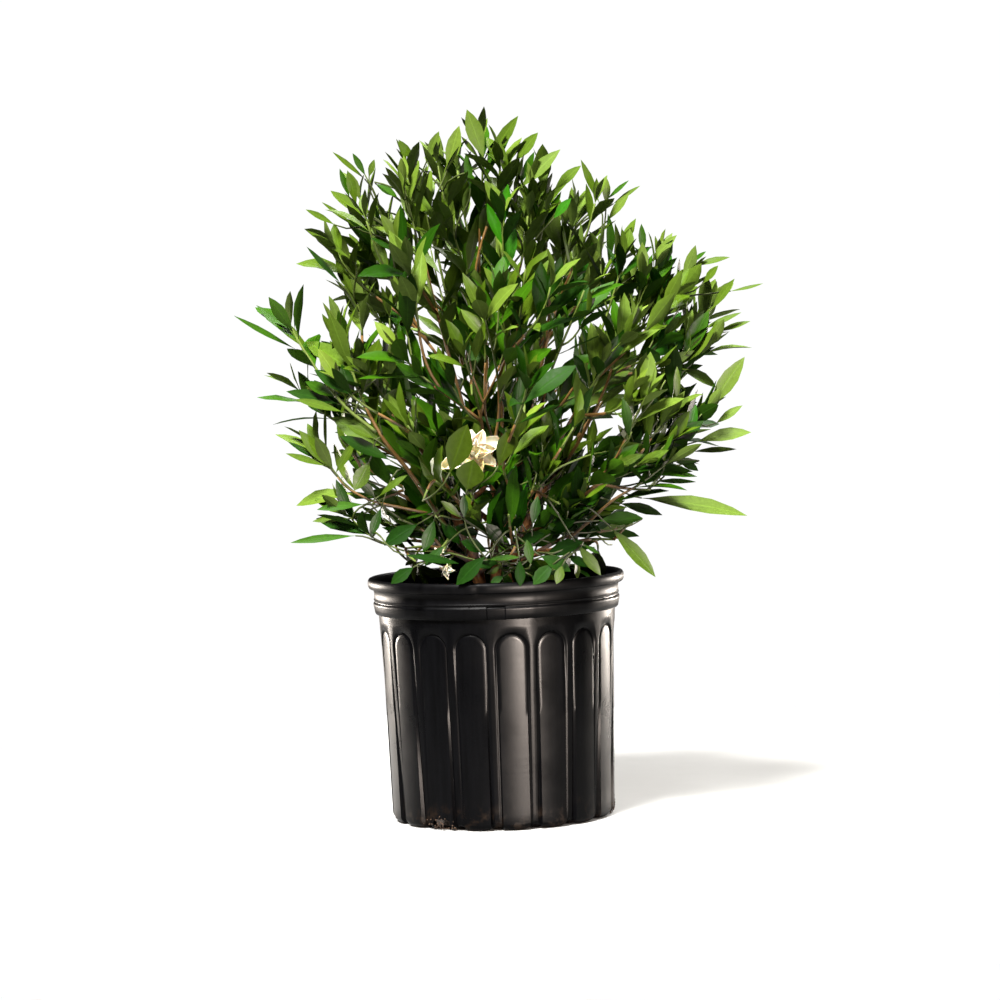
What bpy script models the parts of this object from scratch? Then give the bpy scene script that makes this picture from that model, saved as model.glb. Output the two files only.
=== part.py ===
"""A gardenia shrub in a fluted black nursery pot.

The pot is one moulding with a rolled lip and eighteen arch-topped panels. Potting mix fills it, five woody
stems stand in the mix, boughs fork from the stems, and each bough carries one mass of foliage. Metres, +Z up.
The origin is the centre of the pot's flat underside, and -Y is the side that faces the viewer.
"""

import math
import random

import bmesh
import bpy
from mathutils import Matrix, Quaternion, Vector
from mathutils.bvhtree import BVHTree
from mathutils.geometry import interpolate_bezier

# Clearance between pieces that touch
GAP = 0.0003

# Pot
POT_HEIGHT = 0.217
PANEL_COUNT = 18
PANEL_PITCH = math.tau / PANEL_COUNT
FIRST_PANEL = math.radians(-83.4)
PANEL_FOOT_RADIUS = 0.0992
PANEL_TOP_RADIUS = 0.1040
LAND_FOOT_RADIUS = 0.0964
LAND_TOP_RADIUS = 0.1058
PANEL_FOOT_HALF = math.radians(8.0)
PANEL_TOP_HALF = math.radians(7.8)
PANEL_EDGE = math.radians(0.55)
ARCH_CROWN = 0.172
WALL_TOP = 0.1846
HEEL = 0.006
RIM_SIDES = 48
RIM_PROFILE = (
    (0.1085, 0.1856),
    (0.1104, 0.1940),
    (0.1092, 0.1962),
    (0.1096, 0.2070),
    (0.1134, 0.2080),
    (0.1147, 0.2130),
    (0.1118, POT_HEIGHT),
    (0.1090, 0.2160),
)
BORE_PROFILE = (
    (0.1072, 0.2120),
    (0.1062, 0.1960),
    (0.1022, 0.1720),
    (0.0944, 0.0070),
    (0.0905, 0.0026),
)
DRAIN_PANELS = (-2, 4, 10)
DRAIN_WIDTH = 0.018
DRAIN_HEIGHT = 0.010
DRAIN_DEPTH = 0.020

# Potting mix
MIX_TOP = 0.191

# Crown: every mass lies on its own direction from the heart, which is low among the stems
HEART = Vector((0.006, 0.0, 0.235))
HEIGHTS = (-15, 3, 12, 30, 45, 60, 75, 90)
LEFT_REACH = (0.120, 0.178, 0.208, 0.255, 0.345, 0.372, 0.398, 0.415)
RIGHT_REACH = (0.115, 0.180, 0.235, 0.270, 0.350, 0.355, 0.378, 0.415)
SIXTHS = ("front", "right_front", "right_back", "back", "left_back", "left_front")
EIGHTHS = (
    "front_right",
    "right_front",
    "right_back",
    "back_right",
    "back_left",
    "left_back",
    "left_front",
    "front_left",
)
FIFTHS = ("front", "right", "back_right", "back_left", "left")
QUARTERS = ("front_right", "back_right", "back_left", "front_left")
LOW_RISE = math.radians(6)
MIDDLE_RISE = math.radians(30)
UPPER_RISE = math.radians(52)
CROWN_RISE = math.radians(76)
ENTRY = 0.030
ENTRY_SHARE = 0.16

# Stems and boughs
STEM_SIDES = 7
BOUGH_SIDES = 5
TWIG_SIDES = 3
STEM_RING = 0.017
STEM_FOOT_RADIUS = 0.0058
STEM_TIP_RADIUS = 0.0040
ROOT_FLARE = 1.35
STEM_OUT = 0.030
STEM_RISE = 0.078
CENTRE_STEM_RISE = 0.115
BOUGH_ROOT_RADIUS = 0.0028
BOUGH_TIP_RADIUS = 0.0019
TWIG_ROOT_RADIUS = 0.0018
TWIG_TIP_RADIUS = 0.0014

# Foliage
SEED = 9
SHOOTS = {"low": 3, "middle": 3, "upper": 3, "crown": 3}
SHOOT_FAN = {"low": 20, "middle": 14, "upper": 14, "crown": 11}
SHOOT_TRIES = (1.0, 0.75, 0.5, 0.3)
SHOOT_LEAVES = math.radians(42)
SHOOT_STARTS = (0.04, 0.48)
SHOOT_REACH = (0.80, 1.0)
UPWARD_PULL = 0.30
LEAF_STEP = {"low": 0.040, "middle": 0.052, "upper": 0.054, "crown": 0.052}
LEAF_FREE = 0.010
LEAF_LENGTH = 0.070
LEAF_WIDTH = 0.0210
LEAF_ARCH = 0.026
LEAF_WIDEST = 0.46
LEAF_ROOT = 0.0004
PAIR_STEP = 0.0016
LEAF_TRIES = 7
SPACE_MARGIN = 0.0008
LIMB_MARGIN = 0.0016

# Bloom
BLOOM_MASS = "middle_front_left"
BLOOM_AT = Vector((-0.024, -0.118, 0.334))
BLOOM_FACES = Vector((0.25, -0.90, 0.36)).normalized()
PETAL_COUNT = 6
PETAL_LENGTH = 0.024
PETAL_WIDTH = 0.017

SMOOTH_UNDER = math.radians(40)

# Plain colours
MATERIALS = {
    "pot_plastic": ((0.012, 0.012, 0.013), 0.38),
    "potting_mix": ((0.030, 0.020, 0.013), 0.95),
    "bark": ((0.260, 0.120, 0.055), 0.80),
    "foliage": ((0.075, 0.150, 0.022), 0.45),
}


def material(name):
    """The named finish as a Principled BSDF, made once."""
    found = bpy.data.materials.get(name)
    if found:
        return found
    colour, roughness = MATERIALS[name]
    made = bpy.data.materials.new(name)
    made.use_nodes = True
    shader = made.node_tree.nodes["Principled BSDF"]
    shader.inputs["Base Color"].default_value = (*colour, 1)
    shader.inputs["Roughness"].default_value = roughness
    shader.inputs["Metallic"].default_value = 0
    return made


def add_object(name, bm, finish, collection=None):
    """Turns a bmesh into a named object with one finish. All but the leaves are shaded smooth."""
    mesh = bpy.data.meshes.new(name)
    bm.to_mesh(mesh)
    bm.free()
    if finish != "foliage":
        mesh.shade_smooth()
        mesh.set_sharp_from_angle(angle=SMOOTH_UNDER)
    mesh.materials.append(material(finish))
    obj = bpy.data.objects.new(name, mesh)
    (collection or bpy.context.scene.collection).objects.link(obj)
    return obj


def baked(obj):
    """Applies an object's modifiers to its mesh."""
    bpy.context.view_layer.update()
    graph = bpy.context.evaluated_depsgraph_get()
    mesh = bpy.data.meshes.new_from_object(obj.evaluated_get(graph))
    old = obj.data
    obj.modifiers.clear()
    obj.data = mesh
    bpy.data.meshes.remove(old)
    mesh.name = obj.name
    return obj


def direction(side_angle, rise):
    """Unit vector at a compass angle and a rise above the level."""
    return Vector(
        (math.cos(side_angle) * math.cos(rise), math.sin(side_angle) * math.cos(rise), math.sin(rise))
    )


def side_angle(index, count):
    """Compass angle of one of count sides, counted from the front towards the right."""
    return -math.pi / 2 + math.tau * index / count


def land_radius(z):
    return LAND_FOOT_RADIUS + (LAND_TOP_RADIUS - LAND_FOOT_RADIUS) * z / WALL_TOP


def panel_radius(z):
    return PANEL_FOOT_RADIUS + (PANEL_TOP_RADIUS - PANEL_FOOT_RADIUS) * z / ARCH_CROWN


def arch_rows():
    """(height, share of the panel's half width) from the pot's foot up to the arch's crown."""
    spring = ARCH_CROWN - PANEL_TOP_HALF * PANEL_TOP_RADIUS
    rows = [(0.0, 1.0), (HEEL * 0.5, 1.0), (HEEL * 1.2, 1.0), (spring, 1.0)]
    for turn in (42, 74):
        a = math.radians(turn)
        rows.append((spring + (ARCH_CROWN - spring) * math.sin(a), math.cos(a)))
    return rows


def heel_inset(z):
    """How far the rounded heel at the pot's foot draws the wall in."""
    return HEEL - math.sqrt(max(0.0, HEEL**2 - (HEEL - z) ** 2)) if z < HEEL else 0.0


def wall_ring(z, share):
    """The fluted wall's points at one height: six for each panel."""
    half = PANEL_FOOT_HALF + (PANEL_TOP_HALF - PANEL_FOOT_HALF) * min(1.0, z / ARCH_CROWN)
    half *= share
    points = []
    for panel in range(PANEL_COUNT):
        centre = FIRST_PANEL + panel * PANEL_PITCH
        land = land_radius(z) - heel_inset(z)
        face = (panel_radius(z) if share > 0 else land_radius(z)) - heel_inset(z)
        for offset, radius in (
            (-PANEL_PITCH / 2, land),
            (-half - PANEL_EDGE, land),
            (-half, face),
            (0.0, face),
            (half, face),
            (half + PANEL_EDGE, land),
        ):
            points.append(Matrix.Rotation(centre + offset, 3, "Z") @ Vector((radius, 0, z)))
    return points


def round_ring(radius, z, count):
    """A plain ring whose first point lies where the fluted wall's first point does."""
    start = FIRST_PANEL - PANEL_PITCH / 2
    return [Matrix.Rotation(start + math.tau * i / count, 3, "Z") @ Vector((radius, 0, z)) for i in range(count)]


def extruded_rings(bm, rings):
    """A wall made by extruding one ring's edges through the others. Returns its first and last edge loops."""
    verts = bmesh.ops.create_circle(bm, segments=len(rings[0]), radius=1)["verts"]
    edges = [e for e in bm.edges if all(v in verts for v in e.verts)]
    for vert, point in zip(verts, rings[0]):
        vert.co = point
    first = edges
    for ring in rings[1:]:
        grown = bmesh.ops.extrude_edge_only(bm, edges=edges)["geom"]
        edges = [g for g in grown if isinstance(g, bmesh.types.BMEdge)]
        fresh = {g for g in grown if isinstance(g, bmesh.types.BMVert)}
        verts = [next(e.other_vert(v) for e in v.link_edges if e.other_vert(v) in fresh) for v in verts]
        for vert, point in zip(verts, ring):
            vert.co = point
    return first, edges


def closed_up(bm):
    """Faces pointing out on a mesh that is whole."""
    bmesh.ops.recalc_face_normals(bm, faces=bm.faces)


def build_pot():
    bm = bmesh.new()
    wall = [wall_ring(z, share) for z, share in arch_rows()]
    wall.append(round_ring(LAND_TOP_RADIUS, WALL_TOP, 6 * PANEL_COUNT))
    foot, shoulder = extruded_rings(bm, wall)
    rim = [round_ring(radius, z, RIM_SIDES) for radius, z in RIM_PROFILE]
    rim += [round_ring(radius, z, RIM_SIDES) for radius, z in BORE_PROFILE]
    band, floor_edge = extruded_rings(bm, rim)
    bmesh.ops.bridge_loops(bm, edges=shoulder + band)
    bmesh.ops.contextual_create(bm, geom=foot)
    bmesh.ops.contextual_create(bm, geom=floor_edge)
    closed_up(bm)
    pot = add_object("pot", bm, "pot_plastic")
    for panel in DRAIN_PANELS:
        cut_drain(pot, FIRST_PANEL + panel * PANEL_PITCH)
    return baked(pot)


def cut_drain(pot, angle):
    """A drain mouth through the pot's heel, cut by a wedge that a helper object holds."""
    bm = bmesh.new()
    bmesh.ops.create_cube(bm, size=1)
    size = Matrix.Diagonal((DRAIN_DEPTH, DRAIN_WIDTH, 2 * DRAIN_HEIGHT, 1))
    place = Matrix.Rotation(angle, 4, "Z") @ Matrix.Translation((PANEL_FOOT_RADIUS, 0, 0))
    bmesh.ops.transform(bm, matrix=place @ size, verts=bm.verts)
    top = [v for v in bm.verts if v.co.z > 0]
    bmesh.ops.scale(bm, vec=(0.985, 0.985, 1), verts=top)
    closed_up(bm)
    cutter = add_object(f"drain_cutter_{angle:.1f}", bm, "pot_plastic")
    cutter.hide_render = True
    cutter.display_type = "WIRE"
    cut = pot.modifiers.new("drain", "BOOLEAN")
    cut.operation = "DIFFERENCE"
    cut.solver = "EXACT"
    cut.object = cutter


def build_mix():
    """The potting mix, one tapered plug that fills the pot."""
    (lip, lip_z), (neck, neck_z) = BORE_PROFILE[1:3]
    mouth = neck + (lip - neck) * (MIX_TOP - neck_z) / (lip_z - neck_z)
    profile = [(radius, z + GAP) for radius, z in BORE_PROFILE[:1:-1]] + [(mouth, MIX_TOP)]
    rings = [round_ring(radius - 1.4 * GAP, z, RIM_SIDES) for radius, z in profile]
    bm = bmesh.new()
    low, high = extruded_rings(bm, rings)
    bmesh.ops.contextual_create(bm, geom=low)
    bmesh.ops.contextual_create(bm, geom=high)
    closed_up(bm)
    return add_object("potting_mix", bm, "potting_mix")


def frames_along(points, facing=None):
    """A turned frame at each point of a path, with little twist. The first may face a way of its own."""
    tangents = []
    for i in range(len(points)):
        ahead = points[min(i + 1, len(points) - 1)]
        behind = points[max(i - 1, 0)]
        tangents.append((ahead - behind).normalized())
    tangents[0] = facing or tangents[0]
    turn = Vector((0, 0, 1)).rotation_difference(tangents[0])
    turns = [turn]
    for before, after in zip(tangents, tangents[1:]):
        turn = before.rotation_difference(after) @ turn
        turns.append(turn)
    return turns


def swept(bm, points, radii, sides, facing=None):
    """A tapering limb: a ring extruded along a path, capped at both ends."""
    turns = frames_along(points, facing)
    rings = []
    for point, radius, turn in zip(points, radii, turns):
        ring = []
        for i in range(sides):
            a = math.tau * i / sides
            ring.append(point + turn @ Vector((radius * math.cos(a), radius * math.sin(a), 0)))
        rings.append(ring)
    first, last = extruded_rings(bm, rings)
    bmesh.ops.contextual_create(bm, geom=first)
    bmesh.ops.contextual_create(bm, geom=last)
    closed_up(bm)


def bend(start, heading, end, arrival, count):
    """Points of a smooth curve that leaves along heading and arrives along arrival."""
    reach = (end - start).length * 0.38
    return interpolate_bezier(start, start + heading * reach, end - arrival * reach, end, count)


def tapered(first, last, count):
    return [first + (last - first) * i / (count - 1) for i in range(count)]


def point_at(path, share):
    """The point and the heading at a share of a path's length."""
    place = share * (len(path) - 1)
    i = min(int(place), len(path) - 2)
    step = path[i + 1] - path[i]
    return path[i] + step * (place - i), step.normalized()


def crown_reach(way):
    """How far the crown reaches from the heart in one direction, between its left and its right outline."""
    rise = math.degrees(math.asin(max(-1.0, min(1.0, way.z))))
    flat = math.hypot(way.x, way.y)
    rightness = 0.5 + 0.5 * way.x / flat if flat > 1e-6 else 0.5
    for i in range(len(HEIGHTS) - 1):
        if rise <= HEIGHTS[i + 1]:
            break
    share = max(0.0, (rise - HEIGHTS[i]) / (HEIGHTS[i + 1] - HEIGHTS[i]))
    left = LEFT_REACH[i] + (LEFT_REACH[i + 1] - LEFT_REACH[i]) * share
    right = RIGHT_REACH[i] + (RIGHT_REACH[i + 1] - RIGHT_REACH[i]) * share
    return left + (right - left) * rightness


class Mass:
    """One mass of foliage: its tier, its direction from the heart, and the stem that carries it."""

    def __init__(self, tier, side, way, stem, start):
        self.name = f"{tier}_{side}"
        self.tier = tier
        self.way = way
        self.reach = crown_reach(way)
        self.stem = stem
        self.start = start
        self.entry = HEART + way * (ENTRY + self.reach * ENTRY_SHARE)


def all_masses():
    """The crown's masses, tier by tier, each with the stem and the place on it that its bough leaves."""
    masses = []
    for tier, sides, first, rise, stems, starts in (
        ("low", SIXTHS, 0.1, LOW_RISE, (3, 0, 1, 1, 2, 3), (0.30, 0.42, 0.30, 0.42, 0.36, 0.42)),
        ("middle", EIGHTHS, 0.4, MIDDLE_RISE, (0, 0, 1, 1, 2, 2, 3, 3), (0.60, 0.74)),
        ("upper", SIXTHS, 0.8, UPPER_RISE, (0, 4, 1, 2, 4, 3), (1.0, 0.48, 1.0, 1.0, 0.57, 1.0)),
        ("crown", FIFTHS, 0.12, CROWN_RISE, (4, 4, 4, 4, 4), (0.66, 0.75, 1.0, 0.84, 0.92)),
    ):
        for i, side in enumerate(sides):
            way = direction(side_angle(i + first, len(sides)), rise)
            masses.append(Mass(tier, side, way, stems[i], starts[i % len(starts)]))
    return masses


STEM_NAMES = (*QUARTERS, "centre")


def stem_paths():
    """The five stems' paths, from the flat cut on the mix to the fork."""
    paths = []
    foot_z = MIX_TOP + GAP
    for i in range(4):
        side = direction(side_angle(i + 0.5, len(QUARTERS)), 0)
        foot = side * STEM_RING + Vector((0, 0, foot_z))
        fork = foot + side * STEM_OUT + Vector((0, 0, STEM_RISE))
        heading = (side * 0.18 + Vector((0, 0, 1))).normalized()
        arrival = (side * 0.75 + Vector((0, 0, 1))).normalized()
        paths.append(bend(foot, heading, fork, arrival, 6))
    foot = Vector((0, 0, foot_z))
    fork = foot + Vector((0.002, 0.001, CENTRE_STEM_RISE))
    paths.append(bend(foot, Vector((0.05, -0.04, 1)).normalized(), fork, Vector((0, 0, 1)), 6))
    return paths


def stem_radii(extra=0.0):
    radii = tapered(STEM_FOOT_RADIUS, STEM_TIP_RADIUS, 6)
    radii[0] *= ROOT_FLARE
    return [r + extra for r in radii]


def bough_path(mass, stems):
    """A bough's path from its stem to the place where it enters its mass."""
    start, heading = point_at(stems[mass.stem], mass.start)
    arrival = (mass.way + Vector((0, 0, UPWARD_PULL))).normalized()
    if mass.start >= 1.0:
        start = start + heading * GAP
        leave = heading
    else:
        leave = ((mass.entry - start).normalized() + heading * 0.35).normalized()
    return bend(start, leave, mass.entry, arrival, 4)


def build_limbs(stems, masses):
    """Stems and boughs. A bough that leaves a stem's side is cut to it, a gap clear."""
    radii = stem_radii()
    for name, path in zip(STEM_NAMES, stems):
        bm = bmesh.new()
        swept(bm, path, radii, STEM_SIDES)
        flatten_foot(bm, path[0].z)
        add_object(f"stem_{name}", bm, "bark")
    boughs = {}
    for mass in masses:
        path = bough_path(mass, stems)
        bm = bmesh.new()
        facing = point_at(stems[mass.stem], 1.0)[1] if mass.start >= 1.0 else None
        swept(bm, path, tapered(BOUGH_ROOT_RADIUS, BOUGH_TIP_RADIUS, len(path)), BOUGH_SIDES, facing)
        bough = add_object(f"bough_{mass.name}", bm, "bark")
        if mass.start < 1.0:
            cut_to_stem(bough, stems[mass.stem])
        boughs[mass.name] = path
    return boughs


def flatten_foot(bm, level):
    """A flat cut across the stem at ground level."""
    geometry = bm.verts[:] + bm.edges[:] + bm.faces[:]
    lift = 0.0004
    cut = bmesh.ops.bisect_plane(
        bm, geom=geometry, plane_co=(0, 0, level + lift), plane_no=(0, 0, 1), clear_inner=True
    )["geom_cut"]
    rim = [g for g in cut if isinstance(g, bmesh.types.BMEdge)]
    bmesh.ops.contextual_create(bm, geom=rim)
    bmesh.ops.translate(bm, vec=(0, 0, -lift), verts=bm.verts)
    closed_up(bm)


def cut_to_stem(bough, stem_path):
    """Takes the part of a bough that lies in its stem away, with the clearance."""
    bm = bmesh.new()
    swept(bm, stem_path, stem_radii(extra=GAP * 1.3), STEM_SIDES)
    cutter = add_object("stem_cutter", bm, "bark")
    cut = bough.modifiers.new("seat", "BOOLEAN")
    cut.operation = "DIFFERENCE"
    cut.solver = "EXACT"
    cut.object = cutter
    baked(bough)
    bpy.data.objects.remove(cutter)
    keep_largest(bough.data)


def keep_largest(mesh):
    """Drops every loose scrap but the widest island of a mesh."""
    bm = bmesh.new()
    bm.from_mesh(mesh)
    left = set(bm.faces)
    islands = []
    while left:
        island, edge = set(), [left.pop()]
        while edge:
            face = edge.pop()
            island.add(face)
            for e in face.edges:
                for other in e.link_faces:
                    if other in left:
                        left.discard(other)
                        edge.append(other)
        islands.append(island)
    islands.sort(key=lambda island: sum(f.calc_area() for f in island))
    scrap = [f for island in islands[:-1] for f in island]
    bmesh.ops.delete(bm, geom=scrap, context="FACES")
    bm.to_mesh(mesh)
    bm.free()


class Space:
    """The room a mass keeps to: the part of the crown nearest its own direction, clear of limbs and pot."""

    def __init__(self, mass, masses, limbs):
        self.mass = mass
        self.walls = [(mass.way - other.way).normalized() for other in masses if other is not mass]
        self.limbs = limbs

    def holds(self, points, limb_margin=LIMB_MARGIN):
        for p in points:
            offset = p - HEART
            if offset.length > crown_reach(offset.normalized()) or in_pot(p):
                return False
            if any(offset.dot(wall) < SPACE_MARGIN for wall in self.walls):
                return False
        return not self.touches_limb(points, limb_margin)

    def touches_limb(self, points, margin):
        for a, b, radius in self.limbs:
            along = b - a
            for p in points:
                t = max(0.0, min(1.0, (p - a).dot(along) / along.length_squared))
                if (p - a - along * t).length < radius + margin:
                    return True
        return False


def in_pot(p):
    """Whether a point would lie in the pot's wall, in the mix or under the lip outside."""
    radius = math.hypot(p.x, p.y)
    if radius < BORE_PROFILE[1][0] - 0.004:
        return p.z < MIX_TOP + 0.003
    return p.z < POT_HEIGHT + 0.002


def shoot_paths(mass, bough, space):
    """The mass's leader and the side shoots that find room, as paths. The leader goes on from the bough."""
    heading = (bough[-1] - bough[-2]).normalized()
    start = bough[-1] + heading * GAP
    tip = HEART + mass.way * (mass.reach - LEAF_LENGTH * 0.55)
    leader = bend(start, heading, tip, (mass.way + Vector((0, 0, UPWARD_PULL))).normalized(), 4)
    paths = [leader]
    chance = random.Random(f"{SEED} {mass.name}")
    turn = chance.uniform(0, math.tau)
    count = SHOOTS[mass.tier]
    fan = math.radians(SHOOT_FAN[mass.tier])
    for number in range(count):
        turn += math.tau / count + chance.uniform(-0.25, 0.25)
        share = SHOOT_STARTS[0] + (SHOOT_STARTS[1] - SHOOT_STARTS[0]) * number / (count - 1)
        root, along = point_at(leader, share)
        across = mass.way.orthogonal().normalized()
        across.rotate(Quaternion(mass.way, turn))
        reach = chance.uniform(*SHOOT_REACH)
        for narrower in SHOOT_TRIES:
            outward = mass.way * math.cos(fan * narrower) + across * math.sin(fan * narrower)
            end = HEART + outward * (crown_reach(outward) * reach - LEAF_LENGTH * 0.55)
            leave = (along * math.cos(SHOOT_LEAVES) + across * math.sin(SHOOT_LEAVES)).normalized()
            arrival = (outward + Vector((0, 0, UPWARD_PULL))).normalized()
            path = bend(root, leave, end, arrival, 3)
            if space.holds(dotted(path)):
                paths.append(path)
                break
    return paths


def dotted(path):
    """Points along a path past its root, close enough together to test what it meets."""
    return [point_at(path, step / 10)[0] for step in range(1, 11)]


def path_length(path):
    return sum((b - a).length for a, b in zip(path, path[1:]))


def leaf_corners(root, along, face, length, width):
    """A leaf's five corners: two at its thick root, two at its widest and one at its tip."""
    across = face.cross(along).normalized()
    up = along.cross(across).normalized()
    middle = root + along * length * LEAF_WIDEST + up * length * LEAF_ARCH
    return (
        root + up * LEAF_ROOT,
        root - up * LEAF_ROOT,
        middle + across * width / 2,
        middle - across * width / 2,
        root + along * length,
    )


# A flat upper side over a keel that runs from the root to the tip
LEAF_FACES = ((0, 3, 2), (2, 3, 4), (1, 2, 4), (1, 4, 3), (0, 2, 1), (0, 1, 3))


def samples(corners):
    """Points over a leaf, close enough together that no limb slips between them."""
    root = (corners[0] + corners[1]) / 2
    left, right, tip = corners[2:]
    keel = root.lerp(tip, LEAF_WIDEST)
    points = []
    for step in range(2, 13):
        t = step / 12
        if t < LEAF_WIDEST:
            s = t / LEAF_WIDEST
            a, b, c = root.lerp(left, s), root.lerp(right, s), root.lerp(keel, s)
        else:
            s = (t - LEAF_WIDEST) / (1 - LEAF_WIDEST)
            a, b, c = left.lerp(tip, s), right.lerp(tip, s), keel.lerp(tip, s)
        points += [a, b, c, (a + c) / 2, (b + c) / 2]
    return points


def shoot_guard(path):
    """A thin tube round a shoot, for leaves to be tested against."""
    bm = bmesh.new()
    swept(bm, path, [TWIG_TIP_RADIUS] * len(path), TWIG_SIDES)
    guard = BVHTree.FromBMesh(bm)
    bm.free()
    return guard


def leaf_places(mass, paths, space):
    """Where the mass's leaves stand: pairs up each shoot, and a pair of small ones at its tip."""
    placed = []
    guards = [shoot_guard(path) for path in paths]
    for number, path in enumerate(paths):
        chance = random.Random(f"{SEED} {mass.name} leaves {number}")
        length = path_length(path)
        first = LEAF_FREE / length
        pairs = max(2, round((length - LEAF_FREE) / LEAF_STEP[mass.tier]) + 1)
        turn = chance.uniform(0, math.tau)
        for pair in range(pairs):
            share = first + (0.985 - first) * pair / (pairs - 1)
            root, along = point_at(path, share)
            last = pair == pairs - 1
            lean = math.radians(chance.uniform(24, 32) if last else chance.uniform(38, 54))
            size = chance.uniform(0.72, 0.88) if last else chance.uniform(0.86, 1.12)
            turn += math.radians(chance.uniform(70, 110))
            for side in (0, 1):
                base = root - along * PAIR_STEP * side
                leaf = fitted_leaf(base, along, turn + math.pi * side, lean, size, chance, space, guards)
                if leaf:
                    placed.append(leaf)
    return placed


def fitted_leaf(root, along, turn, lean, size, chance, space, guards):
    """Turns and leans a leaf until it keeps to its space and crosses no other. Returns its corners, or None."""
    for attempt in range(LEAF_TRIES):
        swing = turn + (0 if attempt == 0 else chance.uniform(-0.6, 0.6))
        tilt = lean * (1 - 0.10 * attempt)
        across = along.orthogonal().normalized()
        across.rotate(Quaternion(along, swing))
        way = (along * math.cos(tilt) + across * math.sin(tilt)).normalized()
        face = (along * math.sin(tilt) - across * math.cos(tilt)).normalized()
        length = LEAF_LENGTH * size * (1 - 0.06 * attempt)
        corners = leaf_corners(root, way, face, length, LEAF_WIDTH * size)
        blade = leaf_corners(root + way * length * 0.10, way, face, length * 0.91, LEAF_WIDTH * size)
        guard = BVHTree.FromPolygons(blade, LEAF_FACES)
        if not space.holds(samples(corners)) or any(guard.overlap(other) for other in guards):
            continue
        guards.append(guard)
        return corners
    return None


def add_leaf(name, corners, collection):
    bm = bmesh.new()
    verts = [bm.verts.new(c) for c in corners]
    for face in LEAF_FACES:
        bm.faces.new([verts[i] for i in face])
    closed_up(bm)
    return add_object(name, bm, "foliage", collection)


def add_bloom(leader, collection):
    """A stalk from the leader to the open bloom, and the bloom's petals."""
    root, along = point_at(leader, 0.25)
    cup = BLOOM_AT - BLOOM_FACES * 0.008
    path = bend(root, along, cup, BLOOM_FACES, 4) + [BLOOM_AT]
    bm = bmesh.new()
    swept(bm, path, [0.0012, 0.0013, 0.0014, 0.0030, 0.0040], 5)
    add_object("bloom_stalk", bm, "foliage", collection)
    for petal in range(PETAL_COUNT):
        across = BLOOM_FACES.orthogonal().normalized()
        across.rotate(Quaternion(BLOOM_FACES, math.tau * petal / PETAL_COUNT))
        way = (across + BLOOM_FACES * 0.30).normalized()
        face = (BLOOM_FACES - across * 0.30).normalized()
        root = BLOOM_AT + across * 0.0012 - BLOOM_FACES * (0.0024 + 0.0007 * (petal % 2))
        add_leaf(f"petal_{petal}", leaf_corners(root, way, face, PETAL_LENGTH, PETAL_WIDTH), collection)


def build_mass(mass, masses, bough, limbs):
    """One mass of foliage: shoots and leaves fused into a single solid."""
    space = Space(mass, masses, limbs)
    kept = shoot_paths(mass, bough, space)
    leaves = leaf_places(mass, kept, space)
    pieces = bpy.data.collections.new(f"pieces_{mass.name}")
    bpy.context.scene.collection.children.link(pieces)
    for number, path in enumerate(kept[1:]):
        bm = bmesh.new()
        radii = tapered(TWIG_ROOT_RADIUS * 0.75, TWIG_TIP_RADIUS, len(path))
        swept(bm, path, radii, TWIG_SIDES)
        add_object(f"shoot_{number}", bm, "foliage", pieces)
    for number, corners in enumerate(leaves):
        add_leaf(f"leaf_{number}", corners, pieces)
    if mass.name == BLOOM_MASS:
        add_bloom(kept[0], pieces)
    bm = bmesh.new()
    facing = point_at(bough, 1.0)[1]
    swept(bm, kept[0], tapered(TWIG_ROOT_RADIUS, TWIG_TIP_RADIUS, len(kept[0])), TWIG_SIDES, facing)
    foliage = add_object(f"foliage_{mass.name}", bm, "foliage")
    union = foliage.modifiers.new("fuse", "BOOLEAN")
    union.operation = "UNION"
    union.solver = "EXACT"
    union.operand_type = "COLLECTION"
    union.collection = pieces
    baked(foliage)
    for piece in list(pieces.objects):
        bpy.data.objects.remove(piece)
    bpy.data.collections.remove(pieces)
    keep_largest(foliage.data)
    return len(leaves)


def limb_segments(stems, boughs):
    """Every stem and bough as straight stretches with their radii, for the leaves to keep clear of."""
    segments = []
    for path, radii in [(p, stem_radii()) for p in stems] + [
        (p, tapered(BOUGH_ROOT_RADIUS, BOUGH_TIP_RADIUS, len(p))) for p in boughs.values()
    ]:
        for a, b, radius in zip(path, path[1:], radii):
            segments.append((a, b, radius))
    return segments


def main():
    for obj in list(bpy.data.objects):
        bpy.data.objects.remove(obj)
    build_pot()
    build_mix()
    masses = all_masses()
    stems = stem_paths()
    boughs = build_limbs(stems, masses)
    limbs = limb_segments(stems, boughs)
    count = 0
    for mass in masses:
        count += build_mass(mass, masses, boughs[mass.name], limbs)
    print("leaves", count)


main()
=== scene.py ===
"""A gardenia shrub in a fluted black nursery pot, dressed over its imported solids.

Pot, potting mix, limbs, foliage and bloom are modelled in their fine shape, in the solids' own frame:
metres, +Z up, the origin under the pot's middle, and -Y the side that faces the viewer.
"""

import math
import random

import bmesh
import bpy
import numpy as np
from bpy.props import FloatProperty, FloatVectorProperty, IntProperty, PointerProperty
from mathutils import Euler, Matrix, Quaternion, Vector, noise
from mathutils.geometry import interpolate_bezier


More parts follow.
